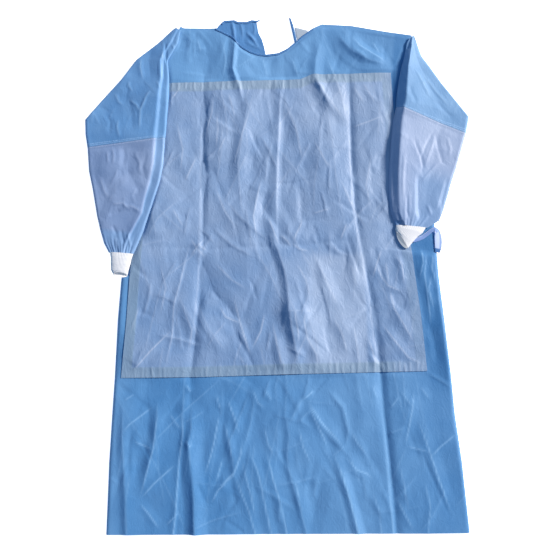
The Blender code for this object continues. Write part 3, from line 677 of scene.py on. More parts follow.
YOKE_CREASES = (
    # height, left flank, right flank, line
    (-2, 14, 12, ((-247, 601), (-243, 567), (-247, 533))),
    (-1.2, 12, 12, ((-191, 506), (-187, 478), (-189, 451))),
    (1.4, 10, 8, ((-207, 572), (-196, 533))),
    (-2.2, 10, 12, ((152, 572), (179, 528), (209, 503), (275, 495))),
    (2.6, 16, 9, ((186, 584), (211, 550), (246, 525), (283, 500))),
    (2.2, 14, 10, ((120, 531), (142, 474), (159, 413), (178, 325))),
    (2.0, 8, 16, ((89, 475), (122, 413), (173, 333))),
    (-1.8, 16, 18, ((56, 462), (79, 407), (103, 348))),
    (1.4, 8, 8, ((35, 520), (55, 456))),
    (1.6, 8, 12, ((178, 325), (220, 340), (269, 359))),
    (1.2, 7, 7, ((188, 440), (217, 391))),
    (1.2, 7, 7, ((213, 451), (247, 386))),
    (-1.2, 9, 9, ((-81, 506), (-50, 462))),
    (1.1, 9, 8, ((-40, 528), (-25, 456))),
    (1.2, 10, 8, ((-143, 578), (-132, 506), (-141, 451))),
    (-1.0, 10, 10, ((78, 567), (87, 511))),
    (1.3, 9, 9, ((242, 567), (261, 528))),
)
SKIRT_CREASES = (
    # height, left flank, right flank, line
    (2.4, 9, 7, ((359, 16), (349, -45), (356, -106), (360, -177))),
    (2.0, 7, 6, ((343, 28), (348, -14), (337, -57))),
    (2.2, 7, 8, ((366, -45), (357, -82), (369, -129))),
    (1.8, 8, 7, ((372, 10), (368, -30), (376, -66))),
    (-1.8, 8, 10, ((352, -150), (366, -205), (372, -262))),
    (1.6, 8, 9, ((-356, -414), (-341, -394), (-285, -351))),
    (2.0, 9, 10, ((-278, -333), (-277, -381), (-283, -447), (-294, -491), (-312, -564))),
    (1.7, 9, 9, ((-312, -562), (-291, -585), (-263, -621))),
    (1.5, 8, 8, ((-330, -429), (-282, -449))),
    (1.8, 9, 9, ((-310, -557), (-280, -523), (-229, -478))),
    (1.4, 7, 7, ((-250, -612), (-221, -583))),
    (1.4, 8, 8, ((-250, -367), (-222, -405))),
    (1.2, 7, 7, ((-355, -340), (-330, -324))),
    (1.8, 7, 7, ((-213, -302), (-201, -322))),
    (1.8, 7, 7, ((-210, -427), (-196, -447))),
    (2.2, 10, 9, ((-133, -360), (-144, -423), (-152, -460), (-167, -510))),
    (1.6, 8, 8, ((-142, -519), (-129, -527), (-102, -506), (-84, -465))),
    (1.6, 8, 8, ((-150, -566), (-134, -535), (-111, -517))),
    (1.4, 8, 8, ((-125, -465), (-140, -523))),
    (1.6, 9, 8, ((-122, -387), (-100, -486))),
    (1.4, 7, 7, ((-143, -324), (-131, -363))),
    (-1.6, 12, 10, ((-199, -493), (-198, -557), (-196, -638))),
    (1.7, 9, 9, ((-118, -331), (-99, -381), (-87, -418))),
    (1.5, 8, 8, ((-122, -387), (-104, -469))),
    (1.9, 9, 9, ((-80, -423), (-86, -465), (-100, -499), (-135, -532))),
    (1.5, 8, 8, ((-60, -311), (-46, -345), (-28, -358))),
    (1.4, 7, 7, ((-32, -311), (-14, -342))),
    (1.6, 8, 9, ((-32, -396), (-23, -436), (-7, -465))),
    (2.0, 10, 10, ((-30, -438), (-10, -517), (4, -560), (20, -636))),
    (1.8, 9, 9, ((-71, -440), (-48, -491), (-41, -514), (-32, -557), (-14, -636))),
    (1.6, 9, 9, ((-100, -501), (-65, -583), (-49, -636))),
    (1.6, 8, 8, ((-84, -465), (-60, -553), (-49, -602))),
    (1.8, 7, 14, ((29, -510), (42, -527), (48, -568), (58, -585))),
    (-1.7, 9, 8, ((56, -469), (54, -506), (45, -553))),
    (1.6, 8, 9, ((46, -396), (57, -443), (74, -482))),
    (-1.6, 8, 8, ((88, -458), (72, -510), (67, -547))),
    (2.0, 7, 7, ((57, -338), (71, -327), (83, -315))),
    (2.4, 12, 14, ((64, -333), (98, -387), (152, -447))),
    (2.0, 9, 10, ((67, -338), (82, -376), (116, -449))),
    (2.0, 10, 10, ((125, -456), (145, -506), (165, -574), (181, -636))),
    (-2.4, 18, 16, ((104, -478), (87, -564), (68, -636))),
    (1.0, 8, 7, ((111, -311), (148, -354), (155, -369), (160, -409), (154, -451))),
    (1.8, 9, 10, ((164, -403), (182, -436), (208, -469))),
    (1.8, 9, 9, ((152, -462), (178, -493), (201, -501), (218, -517))),
    (1.6, 8, 9, ((282, -315), (308, -354))),
    (2.0, 10, 9, ((314, -311), (308, -358), (289, -443))),
    (2.2, 10, 12, ((312, -369), (331, -414), (347, -465), (360, -506), (384, -579), (399, -593))),
    (1.7, 8, 9, ((344, -467), (369, -442), (408, -412))),
    (1.3, 7, 7, ((289, -440), (345, -454))),
    (1.5, 8, 8, ((264, -551), (302, -625))),
    (1.5, 8, 8, ((276, -482), (292, -583))),
    (1.5, 8, 7, ((257, -358), (281, -327))),
    (1.7, 9, 9, ((140, -495), (157, -540), (179, -633))),
    (1.5, 9, 8, ((217, -302), (230, -338))),
    (1.2, 8, 8, ((328, -306), (350, -338))),
    (1.2, 8, 8, ((211, -536), (227, -583), (230, -629))),
    (1.3, 8, 8, ((329, -514), (340, -570), (333, -629))),
)
FRONT_STREWN = (
    # lowest and highest corner, count, seed, tallest, lengths, narrow flanks, lean
    ((-380, -640), (420, -270), 80, 21, 1.3, (40, 160), (4, 9), 0.34),
    ((-250, 460), (330, 600), 40, 22, 0.9, (40, 120), (5, 9), 0.3),
    ((-380, -700), (420, -300), 50, 24, 1.8, (90, 260), (18, 30), 0.2),
    ((-250, 400), (330, 560), 26, 25, 1.5, (60, 180), (16, 28), 0.25),
)
# Painted light across the front, by x: bands of painted light and shade on the skirt, a painted highlight on
# the yoke.
YOKE_PAINTED_LIGHT = ((-250, 280), (-100, 330), (20, 370), (120, 250), (300, 200))
SKIRT_PAINTED_LIGHT = ((-380, 240), (-330, 80), (-200, 70), (0, 140), (200, 240), (340, 100), (390, 80))
LOWEST_FRONT, FRONT_WALL, SHOULDER_HEIGHT, SIDE_HEIGHT, SIDE_ROUND = 0.0024, 0.0006, 0.0026, 0.0008, 0.010
UNDER_SLEEVES, UNDER_PANEL = 0.0052, 0.0021
FRONT_BLUE, FRONT_PALE = (0.012, 0.134, 0.365), (0.29, 0.54, 0.84)


def guide(column, y):
    """x of one guide line at y: straight between the rows of the table."""
    rows = np.array(GUIDES, float) * MM
    return np.interp(y, rows[:, 0], rows[:, column])


def guided(y, first, counts):
    """x of a row of grid points at one y: counts give the steps between the guide lines from the first."""
    ends = [guide(first + k, y) for k in range(len(counts) + 1)]
    steps = [np.linspace(a, b, n + 1)[:-1] for a, b, n in zip(ends, ends[1:], counts)]
    return np.concatenate([*steps, [ends[-1]]])


def body_grid(spans, first, counts):
    """Grid points across the body: for each (rows, lower line, upper line) its rows from the lower line on.

    A line comes with the y at which the guide lines are read for it.
    """
    plan = []
    for rows, (lower, lower_y), (upper, upper_y) in spans:
        for share in np.arange(rows) / rows:
            x = guided((lower_y + (upper_y - lower_y) * share) * MM, first, counts)
            plan.append(np.stack([x, at(lower, x) * (1 - share) + at(upper, x) * share], 1))
    return np.array(plan)


def covered(x, y):
    """1 under the sleeves and cuffs, 0 where the body shows, with a ramp 12 mm wide."""
    left = ramp(x, at(LEFT_COVER, y) + 0.008, -0.012) * (y > -0.06)
    right = ramp(x - at(RIGHT_COVER, y), -0.008, 0.012) * (y > 0.0)
    return np.maximum(left, right)


def body_form(x, y):
    """Base height of the front's upper face with its largest folds, and the wear and painted highlight along
    them.

    Three packing folds hold the cloth down, the centre one only above the waist. It swells up on both
    sides of them, and the swell ends before the sleeves.
    """
    folds, worn = creased(x, y, MAIN_FOLDS)
    pressed, line_worn = creased(x, y, PACKING_LINES)
    away = np.minimum.reduce([
        np.abs(x - guide(LEFT_FOLD, y)),
        np.abs(x - guide(CENTRE_FOLD, y)) + ramp(y, 0.03, -0.06),
        np.abs(x - guide(RIGHT_FOLD, y)),
    ])
    cushion = VALLEY_DEPTH * MM * (1.0 - np.exp(-away / VALLEY_REACH)) * ramp(y, 0.52, -0.08)
    beside = smooth((at(RIGHT_COVER, y) - 0.008 - x) / 0.045 + (y < 0.0))
    cushion = cushion * (1.0 - covered(x, y)) * beside * ramp(y, -0.60, 0.10)
    return FRONT_TOP * MM + folds + pressed + cushion, np.maximum(worn * 0.4, line_worn)


def scattered(x, y, table):
    """Sum of the creases strewn over each box of a table, and the strongest wear and painted highlight."""
    rise, worn = np.zeros(x.shape), np.zeros(x.shape)
    for row in table:
        more, mark = crumpled(x, y, *row)
        rise, worn = rise + more, np.maximum(worn, mark)
    return rise, worn


def inside_panel(x, y, left, right):
    """Distance to the nearest edge of the reinforcement, along x or y, between its left and right edges."""
    return np.minimum.reduce([x - left, right - x, y - at(PANEL_BOTTOM_LINE, x), at(PANEL_TOP_LINE, x) - y])


def edge_round(distance, radius):
    """Share of full height over a rounded edge: a quarter circle of the radius, then level."""
    inside = np.clip(1.0 - distance / radius, 0.0, 1.0)
    return np.sqrt(1.0 - inside**2)


plan = body_grid(FRONT_SPANS, LEFT_EDGE, FRONT_COLUMNS)
x, y = plan[..., 0], plan[..., 1]
form, worn = body_form(x, y)
fine, fine_worn = creased(x, y, YOKE_CREASES, 1.0, *SHARP)
skirt_fine, skirt_worn = creased(x, y, SKIRT_CREASES, 0.75, *SHARP)
strewn, strewn_worn = scattered(x, y, FRONT_STREWN)
fine = fine + skirt_fine + strewn + undulating(x, y, 23, 0.16, 2.0)
hidden = covered(x, y)
inside = inside_panel(x, y, guide(PANEL_LEFT, y), guide(PANEL_RIGHT, y))
below_top = at(TOP_LINE, x) - y
free = (1 - hidden) * (1 - ramp(inside, -0.012, 0.012)) * ramp(below_top, 0.006, 0.012)
front_z = form + fine * free - UNDER_PANEL * ramp(inside, 0.001, 0.005)
neck = 1.0 - ramp(x, -0.150, -0.030) - ramp(x, 0.093, 0.030)
shoulder = (1.0 - ramp(below_top, 0.0, 0.020)) * (1.0 - neck)
front_z = front_z + (SHOULDER_HEIGHT - front_z) * shoulder
front_z = np.minimum(front_z, np.where(hidden > 0, UNDER_SLEEVES + 0.02 * (1 - hidden), 1.0))
front_z = np.maximum(front_z, LOWEST_FRONT)
from_side = np.minimum(x - guide(LEFT_EDGE, y), guide(RIGHT_EDGE, y) - x)
rolled = ramp(y, 0.260, -0.040) * (1 - edge_round(from_side, SIDE_ROUND))
front_z = SIDE_HEIGHT + (front_z - SIDE_HEIGHT) * (1 - rolled)
# Painted light on the front: the skirt's bands of painted light and shade, painted shade on the strip right
# of the reinforcement, and the yoke's painted highlight towards the neck.
yoke_painted_light, skirt_painted_light = at(YOKE_PAINTED_LIGHT, x), at(SKIRT_PAINTED_LIGHT, x)
shaded_side_strip = ramp(x, guide(PANEL_RIGHT, y), 0.010) * ramp(y, -0.34, 0.12)
paleness = skirt_painted_light * (1 - shaded_side_strip) + (yoke_painted_light - skirt_painted_light) * ramp(y, 0.35, 0.1)
front_material = cloth_material("front_cloth", FRONT_BLUE, FRONT_PALE)
# Its crests are paler: wear and painted highlight.
front = cloth(
    "front", np.stack([x, y, front_z], -1), FRONT_WALL, front_material, paleness=paleness,
    worn=np.maximum.reduce([worn, fine_worn, skirt_worn, strewn_worn]) * (1 - hidden),
)
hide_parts("front")
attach(front, "root")


# Reinforcement: a second layer of film-backed nonwoven over the chest and lap, bonded to the front by a
# band of adhesive all round it, which gathers both layers into short pleats along the top and bottom.
PANEL_COLUMNS = (8, 56, 36, 44, 72, 40)
PANEL_SPANS = ((256, PANEL_BOTTOM, PANEL_TOP), (1, PANEL_TOP, PANEL_TOP))
BAND = 0.022
PANEL_CREASES = (
    # height, left flank, right flank, line
    (2.4, 14, 24, ((-161, 413), (-165, 370), (-177, 322), (-181, 269))),
    (1.6, 20, 8, ((-153, 370), (-149, 322), (-153, 264))),
    (1.5, 8, 7, ((-235, 451), (-269, 399))),
    (3.0, 26, 18, ((-67, 383), (-87, 311), (-104, 246), (-115, 212))),
    (1.4, 10, 7, ((-127, 306), (-151, 251))),
    (1.4, 10, 7, ((-200, 254), (-230, 184))),
    (-3.0, 14, 18, ((-62, 269), (-59, 171))),
    (4.2, 14, 12, ((-39, 204), (-53, 134), (-59, 98), (-55, 68), (-46, 28))),
    (-3.4, 10, 14, ((-29, 166), (-39, 125), (-34, 90))),
    (1.8, 6, 6, ((-27, 103), (-19, 85), (3, 23))),
    (2.6, 7, 7, ((57, 102), (56, 79), (44, 54), (35, 28))),
    (1.8, 6, 5, ((2, 54), (15, 44), (24, 34), (33, 20))),
    (1.6, 6, 6, ((32, 34), (51, 17), (77, 12))),
    (1.6, 6, 5, ((-196, 34), (-184, 22), (-170, 14))),
    (3.4, 20, 26, ((87, 296), (119, 233), (138, 215))),
    (1.3, 6, 8, ((81, 105), (129, 118))),
    (1.6, 9, 7, ((150, 38), (168, 85))),
    (1.8, 9, 9, ((-212, 45), (-192, 16), (-173, -4))),
    (1.8, 9, 9, ((-176, 45), (-195, 21), (-211, -2))),
    (1.2, 10, 8, ((-126, 424), (-105, 348))),
    (1.2, 9, 9, ((-255, 348), (-235, 269), (-241, 202))),
    (1.3, 10, 8, ((6, 424), (45, 322), (64, 223))),
    (-3.0, 22, 22, ((55, 269), (79, 166), (83, 75))),
    (1.3, 10, 10, ((148, 202), (181, 125), (218, 60))),
    (1.2, 9, 9, ((233, 269), (216, 176), (229, 105))),
    (1.2, 9, 9, ((-157, 181), (-131, 115), (-97, 60))),
    (1.1, 8, 8, ((-258, 120), (-227, 70))),
    (-1.2, 9, 9, ((5, 151), (34, 85), (44, 40))),
    (1.6, 9, 8, ((-107, -94), (-87, -167), (-65, -228))),
    (1.5, 9, 8, ((-140, -118), (-123, -146), (-85, -163))),
    (1.2, 7, 6, ((-327, -115), (-347, -191))),
    (1.8, 12, 8, ((-245, -172), (-299, -228), (-328, -263), (-350, -286))),
    (1.3, 7, 8, ((-89, -172), (-63, -237))),
    (1.6, 9, 7, ((-31, -134), (-40, -179), (-61, -223))),
    (1.6, 8, 9, ((-14, -153), (-5, -200), (14, -286))),
    (1.6, 8, 9, ((36, -120), (47, -179), (49, -212))),
    (3.0, 12, 20, ((66, -120), (61, -158), (70, -200), (89, -233), (95, -281))),
    (3.0, 14, 20, ((128, -141), (152, -191), (163, -240))),
    (1.4, 8, 9, ((177, -158), (193, -277))),
    (1.8, 9, 10, ((207, -188), (222, -228), (230, -279))),
    (2.0, 10, 9, ((251, 23), (238, -14), (224, -58))),
    (2.0, 9, 10, ((233, -14), (247, -50), (262, -72), (302, -89))),
    (1.4, 7, 7, ((257, -11), (264, -70))),
    (2.2, 8, 9, ((279, 8), (297, -24), (300, -74))),
    (-2.2, 10, 9, ((269, -84), (289, -110), (300, -134))),
    (2.2, 10, 12, ((262, -67), (274, -125), (292, -158), (325, -219))),
    (1.8, 10, 10, ((238, -153), (270, -198), (303, -240), (349, -263))),
    (1.2, 9, 9, ((-283, -14), (-266, -77), (-278, -144))),
    (1.1, 9, 9, ((-153, -14), (-110, -58), (-71, -82))),
    (1.4, 12, 14, ((96, -14), (124, -82), (147, -129))),
    (1.1, 9, 9, ((173, -14), (190, -82))),
    (1.1, 8, 8, ((-232, -106), (-202, -177), (-210, -237))),
    (-1.1, 9, 9, ((-169, -177), (-150, -228), (-158, -279))),
    (1.2, 9, 8, ((43, -14), (67, -58), (76, -106))),
)
PANEL_LAVENDER, PANEL_PALE = (0.085, 0.203, 0.422), (0.48, 0.58, 0.74)
GLUE_GREY = (0.20, 0.30, 0.38)
PANEL_STREWN = (
    # lowest and highest corner, count, seed, tallest, lengths, narrow flanks, lean
    ((-350, -280), (330, 460), 160, 31, 1.5, (40, 150), (4, 8), 0.36),
    ((-350, -360), (330, 400), 90, 34, 3.3, (80, 260), (18, 34), 0.25),
)
PLEAT_FLANKS, PLEAT_FOOT = (4.5, 3.5), 6
PANEL_WALL, LOWEST_PANEL, BAND_RISE = 0.0006, 0.0038, 0.0003
PANEL_PAINTED_LIGHT = (
    # painted light added, painted shade if below 0; 1 where it spares the glued band; then in metres the
    # start and run of each soft edge, across the body and along it: right chest, right lap, breast, right
    # side, left chest
    (0.18, 0, ((0.03, 0.05), (0.178, -0.012)), ((0.25, 0.12), (0.47, -0.03))),
    (0.28, 0, ((0.05, 0.04), (0.215, -0.012)), ((0.02, -0.03), (-0.30, 0.06))),
    (0.10, 0, ((-0.11, 0.05), (0.0, -0.012)), ((0.34, 0.10),)),
    (0.07, 0, ((0.18, 0.02),), ((-0.02, 0.05),)),
    (-0.05, 1, ((-0.12, -0.05),), ((0.25, 0.10),)),
)


def tinted(material, mark, colour, strength):
    """Mixes a second colour into a material's base colour, by the piece's own mark times a strength."""
    tree = material.node_tree
    base = tree.nodes["Principled BSDF"].inputs["Base Color"]
    share = maths(tree, "MULTIPLY", marked(tree, mark), strength)
    tree.links.new(mixed(tree, share, base.links[0].from_socket, (*colour, 1.0)), base)


def patch(x, y, across, along_body):
    """1 inside a patch of cloth: each soft edge is a ramp from its start over its run."""
    inside = np.ones(x.shape)
    for place, edges in ((x, across), (y, along_body)):
        for start, run in edges:
            inside = inside * ramp(place, start, run)
    return inside


plan = body_grid(PANEL_SPANS, PANEL_LEFT, PANEL_COLUMNS)
x, y = plan[..., 0], plan[..., 1]
form, worn = body_form(x, y)
fine, fine_worn = creased(x, y, YOKE_CREASES + PANEL_CREASES, 1.0, *SHARP)
strewn, strewn_worn = scattered(x, y, PANEL_STREWN)
pick = np.random.default_rng(32)
pleats = []
for line, inwards in ((PANEL_TOP_LINE, -1), (PANEL_BOTTOM_LINE, 1)):
    place = -340.0
    while place < 330:
        place += pick.uniform(9, 20)
        edge = float(at(line, place * MM)) / MM
        tall, lean = pick.uniform(0.25, 1.0), pick.uniform(-3, 3)
        run = inwards * pick.uniform(20, 34)
        line_inwards = ((place, edge - inwards * PLEAT_FOOT), (place + lean, edge + run))
        pleats.append((tall, *PLEAT_FLANKS, line_inwards))
pleat_rise, pleat_worn = creased(x, y, pleats)
inside = inside_panel(x, y, x[:, :1], x[:, -1:])
flatter = 0.25 + 0.75 * ramp(inside, 0.003, 0.024)
fine = (fine + strewn + undulating(x, y, 33, 0.14, 1.8)) * flatter + pleat_rise
fine = np.maximum(fine, -0.0004 - 0.0020 * ramp(inside, 0.002, 0.008))
hidden = covered(x, y)
panel_z = form + fine * (1 - hidden) + PANEL_LIFT * MM
panel_z = np.minimum(panel_z, np.where(hidden > 0, (SLEEVE_FLOOR + 9 * (1 - hidden)) * MM, 1.0))
panel_z = np.maximum(panel_z, LOWEST_PANEL)
band = 1.0 - ramp(inside, BAND, 0.003)
panel_z = panel_z + BAND_RISE * band
# Painted light on the reinforcement: paler towards the neck and on the band along its top, then the painted
# light and shade of the patches.
paleness = 0.07 + 0.10 * ramp(y, -0.10, 0.25) + 0.14 * band * ramp(y, 0.40, 0.04)
for painted_amount, spares, across, along_body in PANEL_PAINTED_LIGHT:
    paleness = paleness + painted_amount * patch(x, y, across, along_body) * (1 - spares * band)
glue = band * (0.35 + 0.65 * smooth((0.24 - x) / 0.06 + (y > 0.4) + (y < -0.25)))
panel_material = cloth_material(
    "panel_cloth", PANEL_LAVENDER, PANEL_PALE, roughness=0.5, blotch=0.24, wrinkle=0.4
)
tinted(panel_material, "glue", GLUE_GREY, 0.5)
# Its crests are paler: wear and painted highlight.
front_reinforcement = cloth(
    "front_reinforcement", np.stack([x, y, panel_z], -1), PANEL_WALL, panel_material,
    worn=np.maximum.reduce([worn, fine_worn, strewn_worn, pleat_worn]) * (1 - hidden),
    paleness=paleness, glue=glue,
)
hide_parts("front_reinforcement")
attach(front_reinforcement, "root")


# Front neck binding: the same dark blue tape as on the back, folded over the scooped neck edge from one
# shoulder to the other and stitched through.
BINDING_WIDTH, BINDING_ENDS, BINDING_STEPS = 6, (-160, 114), 13
rows, travel = along([row for row in TOP_LINE if BINDING_ENDS[0] < row[0] < BINDING_ENDS[1]], 161)
s = np.linspace(0, 1, BINDING_STEPS)[None, :]
x = np.repeat(rows[:, 0:1], BINDING_STEPS, 1) * MM
y = rows[:, 1:2] * MM - (1 - s) * BINDING_WIDTH * MM
under = body_form(x, y)[0] + 0.0004
z = under + (0.3 + 0.7 * pillow(s)) * MM
uv = np.stack([travel[:, None] * MM + 0 * x, s * BINDING_WIDTH * MM + 0 * x], -1)
neck_binding_front = cloth(
    "neck_binding_front", np.stack([x, y, z], -1).swapaxes(0, 1), 0.0, tape_material, step=1,
    floor_height=under.T, uv=uv.swapaxes(0, 1),
)
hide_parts("neck_binding_front")
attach(neck_binding_front, "root")


# Sleeves: each is a flattened tube in two lengths joined above the elbow, plain blue cloth above and
# reinforced cloth below, with a long fold that stands up from its packing and gathers at the wrist.
LEFT_UPPER_RIBS = (
    # outer x, outer y, inner x, inner y, fold's share of the width, fold height, ledge height
    (-264, 600, -250, 592, 0.50, 10.5, 10.3),
    (-306, 561, -255, 556, 0.62, 13, 11.5),
    (-362, 513, -280, 508, 0.78, 15, 12),
    (-398, 458, -275, 461, 0.84, 17, 13),
    (-451, 393, -274, 409, 0.86, 18, 13.5),
    (-484, 350, -277, 353, 0.88, 18, 13.5),
    (-481, 312, -278, 321, 0.87, 18, 13.5),
    (-474, 276, -280, 300, 0.87, 18, 13.5),
)
LEFT_LOWER_RIBS = (
    # outer x, outer y, inner x, inner y, fold's share of the width, fold height, ledge height
    (-474, 275.7, -280, 299.7, 0.87, 18, 13.5),
    (-467, 215, -282, 231, 0.86, 17, 13.5),
    (-456, 171, -290, 184, 0.84, 16, 13),
    (-448, 133, -302, 143, 0.83, 15, 13),
    (-441, 100, -312, 105, 0.84, 15, 12.5),
    (-432, 67, -324, 64, 0.74, 15, 12.5),
    (-421, 33, -338, 27, 0.66, 15.5, 13.5),
    (-408, 10, -346.5, 5.5, 0.60, 15, 14),
)
RIGHT_UPPER_RIBS = (
    # outer x, outer y, inner x, inner y, fold's share of the width, fold height, foot height
    (350, 578, 338, 571, 0.50, 10.5, 10.3),
    (356, 560, 330, 556, 0.55, 14, 10.3),
    (368, 524, 322, 518, 0.72, 19, 10.3),
    (387, 495, 313, 487, 0.79, 22, 10.3),
    (415, 450, 306, 455, 0.83, 25, 10.3),
    (447, 405, 300, 420, 0.86, 27, 10.3),
    (480, 358, 297, 396, 0.89, 28, 10.3),
    (470, 313, 296, 380, 0.91, 28, 10.3),
)
RIGHT_LOWER_RIBS = (
    # outer x, outer y, inner x, inner y, fold's share of the width, fold height, foot height
    (469.9, 312.7, 295.9, 379.7, 0.91, 28, 10.3),
    (457, 272, 286, 340, 0.89, 28, 10.3),
    (442, 226, 280, 291, 0.88, 28, 10.3),
    (427, 185, 275, 238, 0.87, 27, 10.3),
    (417, 153, 271, 187, 0.85, 25, 10.3),
    (404, 117, 270, 141, 0.83, 22, 10.3),
    (391, 88, 273, 109, 0.83, 19, 10.5),
    (362, 70, 285, 77, 0.75, 16, 11),
)
LEFT_UPPER_CREASES = (
    # height, left flank, right flank, line
    (-3.2, 3, 8, ((-288, 562), (-287, 534), (-285, 512), (-280, 490))),
    (1.8, 8, 6, ((-330, 404), (-343, 370), (-343, 314))),
    (1.6, 7, 6, ((-376, 404), (-354, 385), (-343, 363))),
    (1.6, 7, 6, ((-317, 427), (-330, 406), (-340, 374))),
    (1.6, 7, 7, ((-412, 423), (-400, 396), (-386, 385))),
    (1.5, 7, 6, ((-375, 453), (-376, 438), (-363, 419))),
    (3.0, 14, 4, ((-292, 545), (-293, 501), (-293, 441))),
    (-3.4, 26, 26, ((-320, 551), (-328, 507), (-319, 447))),
    (-2.0, 22, 12, ((-379, 420), (-366, 366), (-359, 308))),
    (1.8, 12, 10, ((-347, 518), (-349, 490), (-340, 452))),
    (-1.6, 9, 9, ((-434, 371), (-417, 340), (-421, 305))),
    (1.4, 8, 7, ((-398, 350), (-399, 324), (-391, 297))),
    (2.2, 6, 5, ((-272, 556), (-263, 540), (-268, 512))),
    (-2.0, 8, 6, ((-257, 551), (-260, 529), (-269, 507))),
    (1.2, 6, 6, ((-306, 449), (-299, 438), (-294, 425))),
)
LEFT_LOWER_CREASES = (
    # height, left flank, right flank, line
    (1.5, 6, 6, ((-422, 267), (-417, 230))),
    (1.5, 6, 6, ((-409, 278), (-404, 248), (-406, 225))),
    (-2.2, 12, 10, ((-385, 282), (-379, 253), (-382, 220))),
    (-2.6, 28, 18, ((-378, 225), (-354, 189), (-333, 146))),
    (1.8, 7, 7, ((-408, 127), (-378, 131), (-351, 109))),
    (-2.2, 11, 8, ((-413, 100), (-378, 115))),
    (2.4, 10, 8, ((-366, 126), (-349, 120), (-331, 108))),
    (-1.8, 6, 6, ((-401, 78), (-388, 51))),
    (1.6, 9, 8, ((-438, 202), (-424, 163), (-408, 138))),
    (1.5, 8, 8, ((-355, 266), (-339, 232), (-340, 199))),
    (-1.6, 9, 9, ((-323, 266), (-331, 220), (-322, 184))),
    (2.0, 6, 6, ((-362, 61), (-357, 38), (-353, 19))),
    (-2.2, 7, 6, ((-378, 68), (-375, 48), (-369, 26))),
    (1.8, 6, 6, ((-391, 48), (-388, 31), (-385, 16))),
)
RIGHT_UPPER_CREASES = (
    # height, left flank, right flank, line
    (1.4, 8, 9, ((347, 484), (367, 440), (383, 402))),
    (1.2, 8, 8, ((361, 478), (397, 424), (434, 376))),
    (-1.4, 10, 10, ((330, 440), (334, 413), (347, 381))),
    (2.4, 5, 6, ((323, 539), (311, 489), (304, 435), (300, 386))),
    (-1.2, 9, 9, ((391, 402), (412, 376), (441, 349))),
)
RIGHT_LOWER_CREASES = (
    # height, left flank, right flank, line
    (-1.6, 5, 9, ((330, 306), (338, 281), (350, 251), (356, 222), (348, 197))),
    (-1.5, 5, 8, ((392, 325), (365, 277), (354, 248), (356, 219))),
    (1.3, 5, 7, ((391, 306), (371, 251), (359, 219))),
    (-1.6, 6, 10, ((391, 318), (396, 277), (405, 237), (428, 222))),
    (1.6, 6, 9, ((398, 237), (372, 209), (347, 179))),
    (-5.5, 10, 52, ((345, 214), (342, 163), (341, 112), (347, 77))),
    (2.4, 26, 8, ((411, 198), (396, 150), (384, 107))),
    (-1.8, 5, 6, ((314, 155), (312, 109), (319, 81))),
    (1.7, 5, 6, ((362, 130), (374, 98))),
    (2.6, 5, 6, ((293, 354), (283, 291), (277, 214), (275, 150), (278, 92))),
    (1.6, 7, 7, ((311, 265), (304, 188), (303, 125))),
    (1.3, 7, 7, ((419, 307), (427, 271), (420, 245))),
)
SLEEVE_SPACING, SLEEVE_RIM, SLEEVE_THICKNESS, SLEEVE_UNDERSIDE = (0.0024, 0.0022), 0.0009, 0.0012, 0.0002
SWELL_SHARES, SWELL_HEIGHTS = (0.07, 0.35), (8, 11)
STEEP_FROM, LEDGE_RUN, LEDGE_DROP, INNER_RISE = 6, 4, 1.2, 0.8
GATHERS = (
    # height, waves across the sleeve, phase, how sharply they start
    (0.0005, 4.3, 0.6, 1),
    (0.0003, 11, 1.9, 2),
)
# Distance from the seam over which a sleeve's painted highlight changes from its first value to its second.
HIGHLIGHT_REACH = 0.25
SKY_BLUE = (0.16, 0.34, 0.61)
BODY_TOP, STEP_FROM, STEP_RUN = 7.0, 14, 27
# The sleeves' paler crests, wear and painted highlight, are weaker by a share.
SLEEVE_SHARP, SLEEVE_WEAR_AND_HIGHLIGHT, SEAM_WIDTH, SEAM_RISE = (0.65, 0.85, 0.4, 1.0), 0.6, 0.005, 0.0005
SLEEVE_BLUE, SLEEVE_PALE = (0.062, 0.209, 0.478), (0.44, 0.65, 0.82)
LOWER_LAVENDER, LOWER_PALE = (0.133, 0.229, 0.437), (0.52, 0.62, 0.80)
UPPER_THREAD, LOWER_THREAD = (0.30, 0.50, 0.80), (0.40, 0.52, 0.75)


def support(x, y):
    """Height that a sleeve rests at: on the body inside its outline, on the table outside it."""
    outside = np.maximum(guide(LEFT_EDGE, y) - x, x - guide(RIGHT_EDGE, y))
    return BODY_TOP * MM * (1.0 - ramp(outside, STEP_FROM * MM, STEP_RUN * MM))


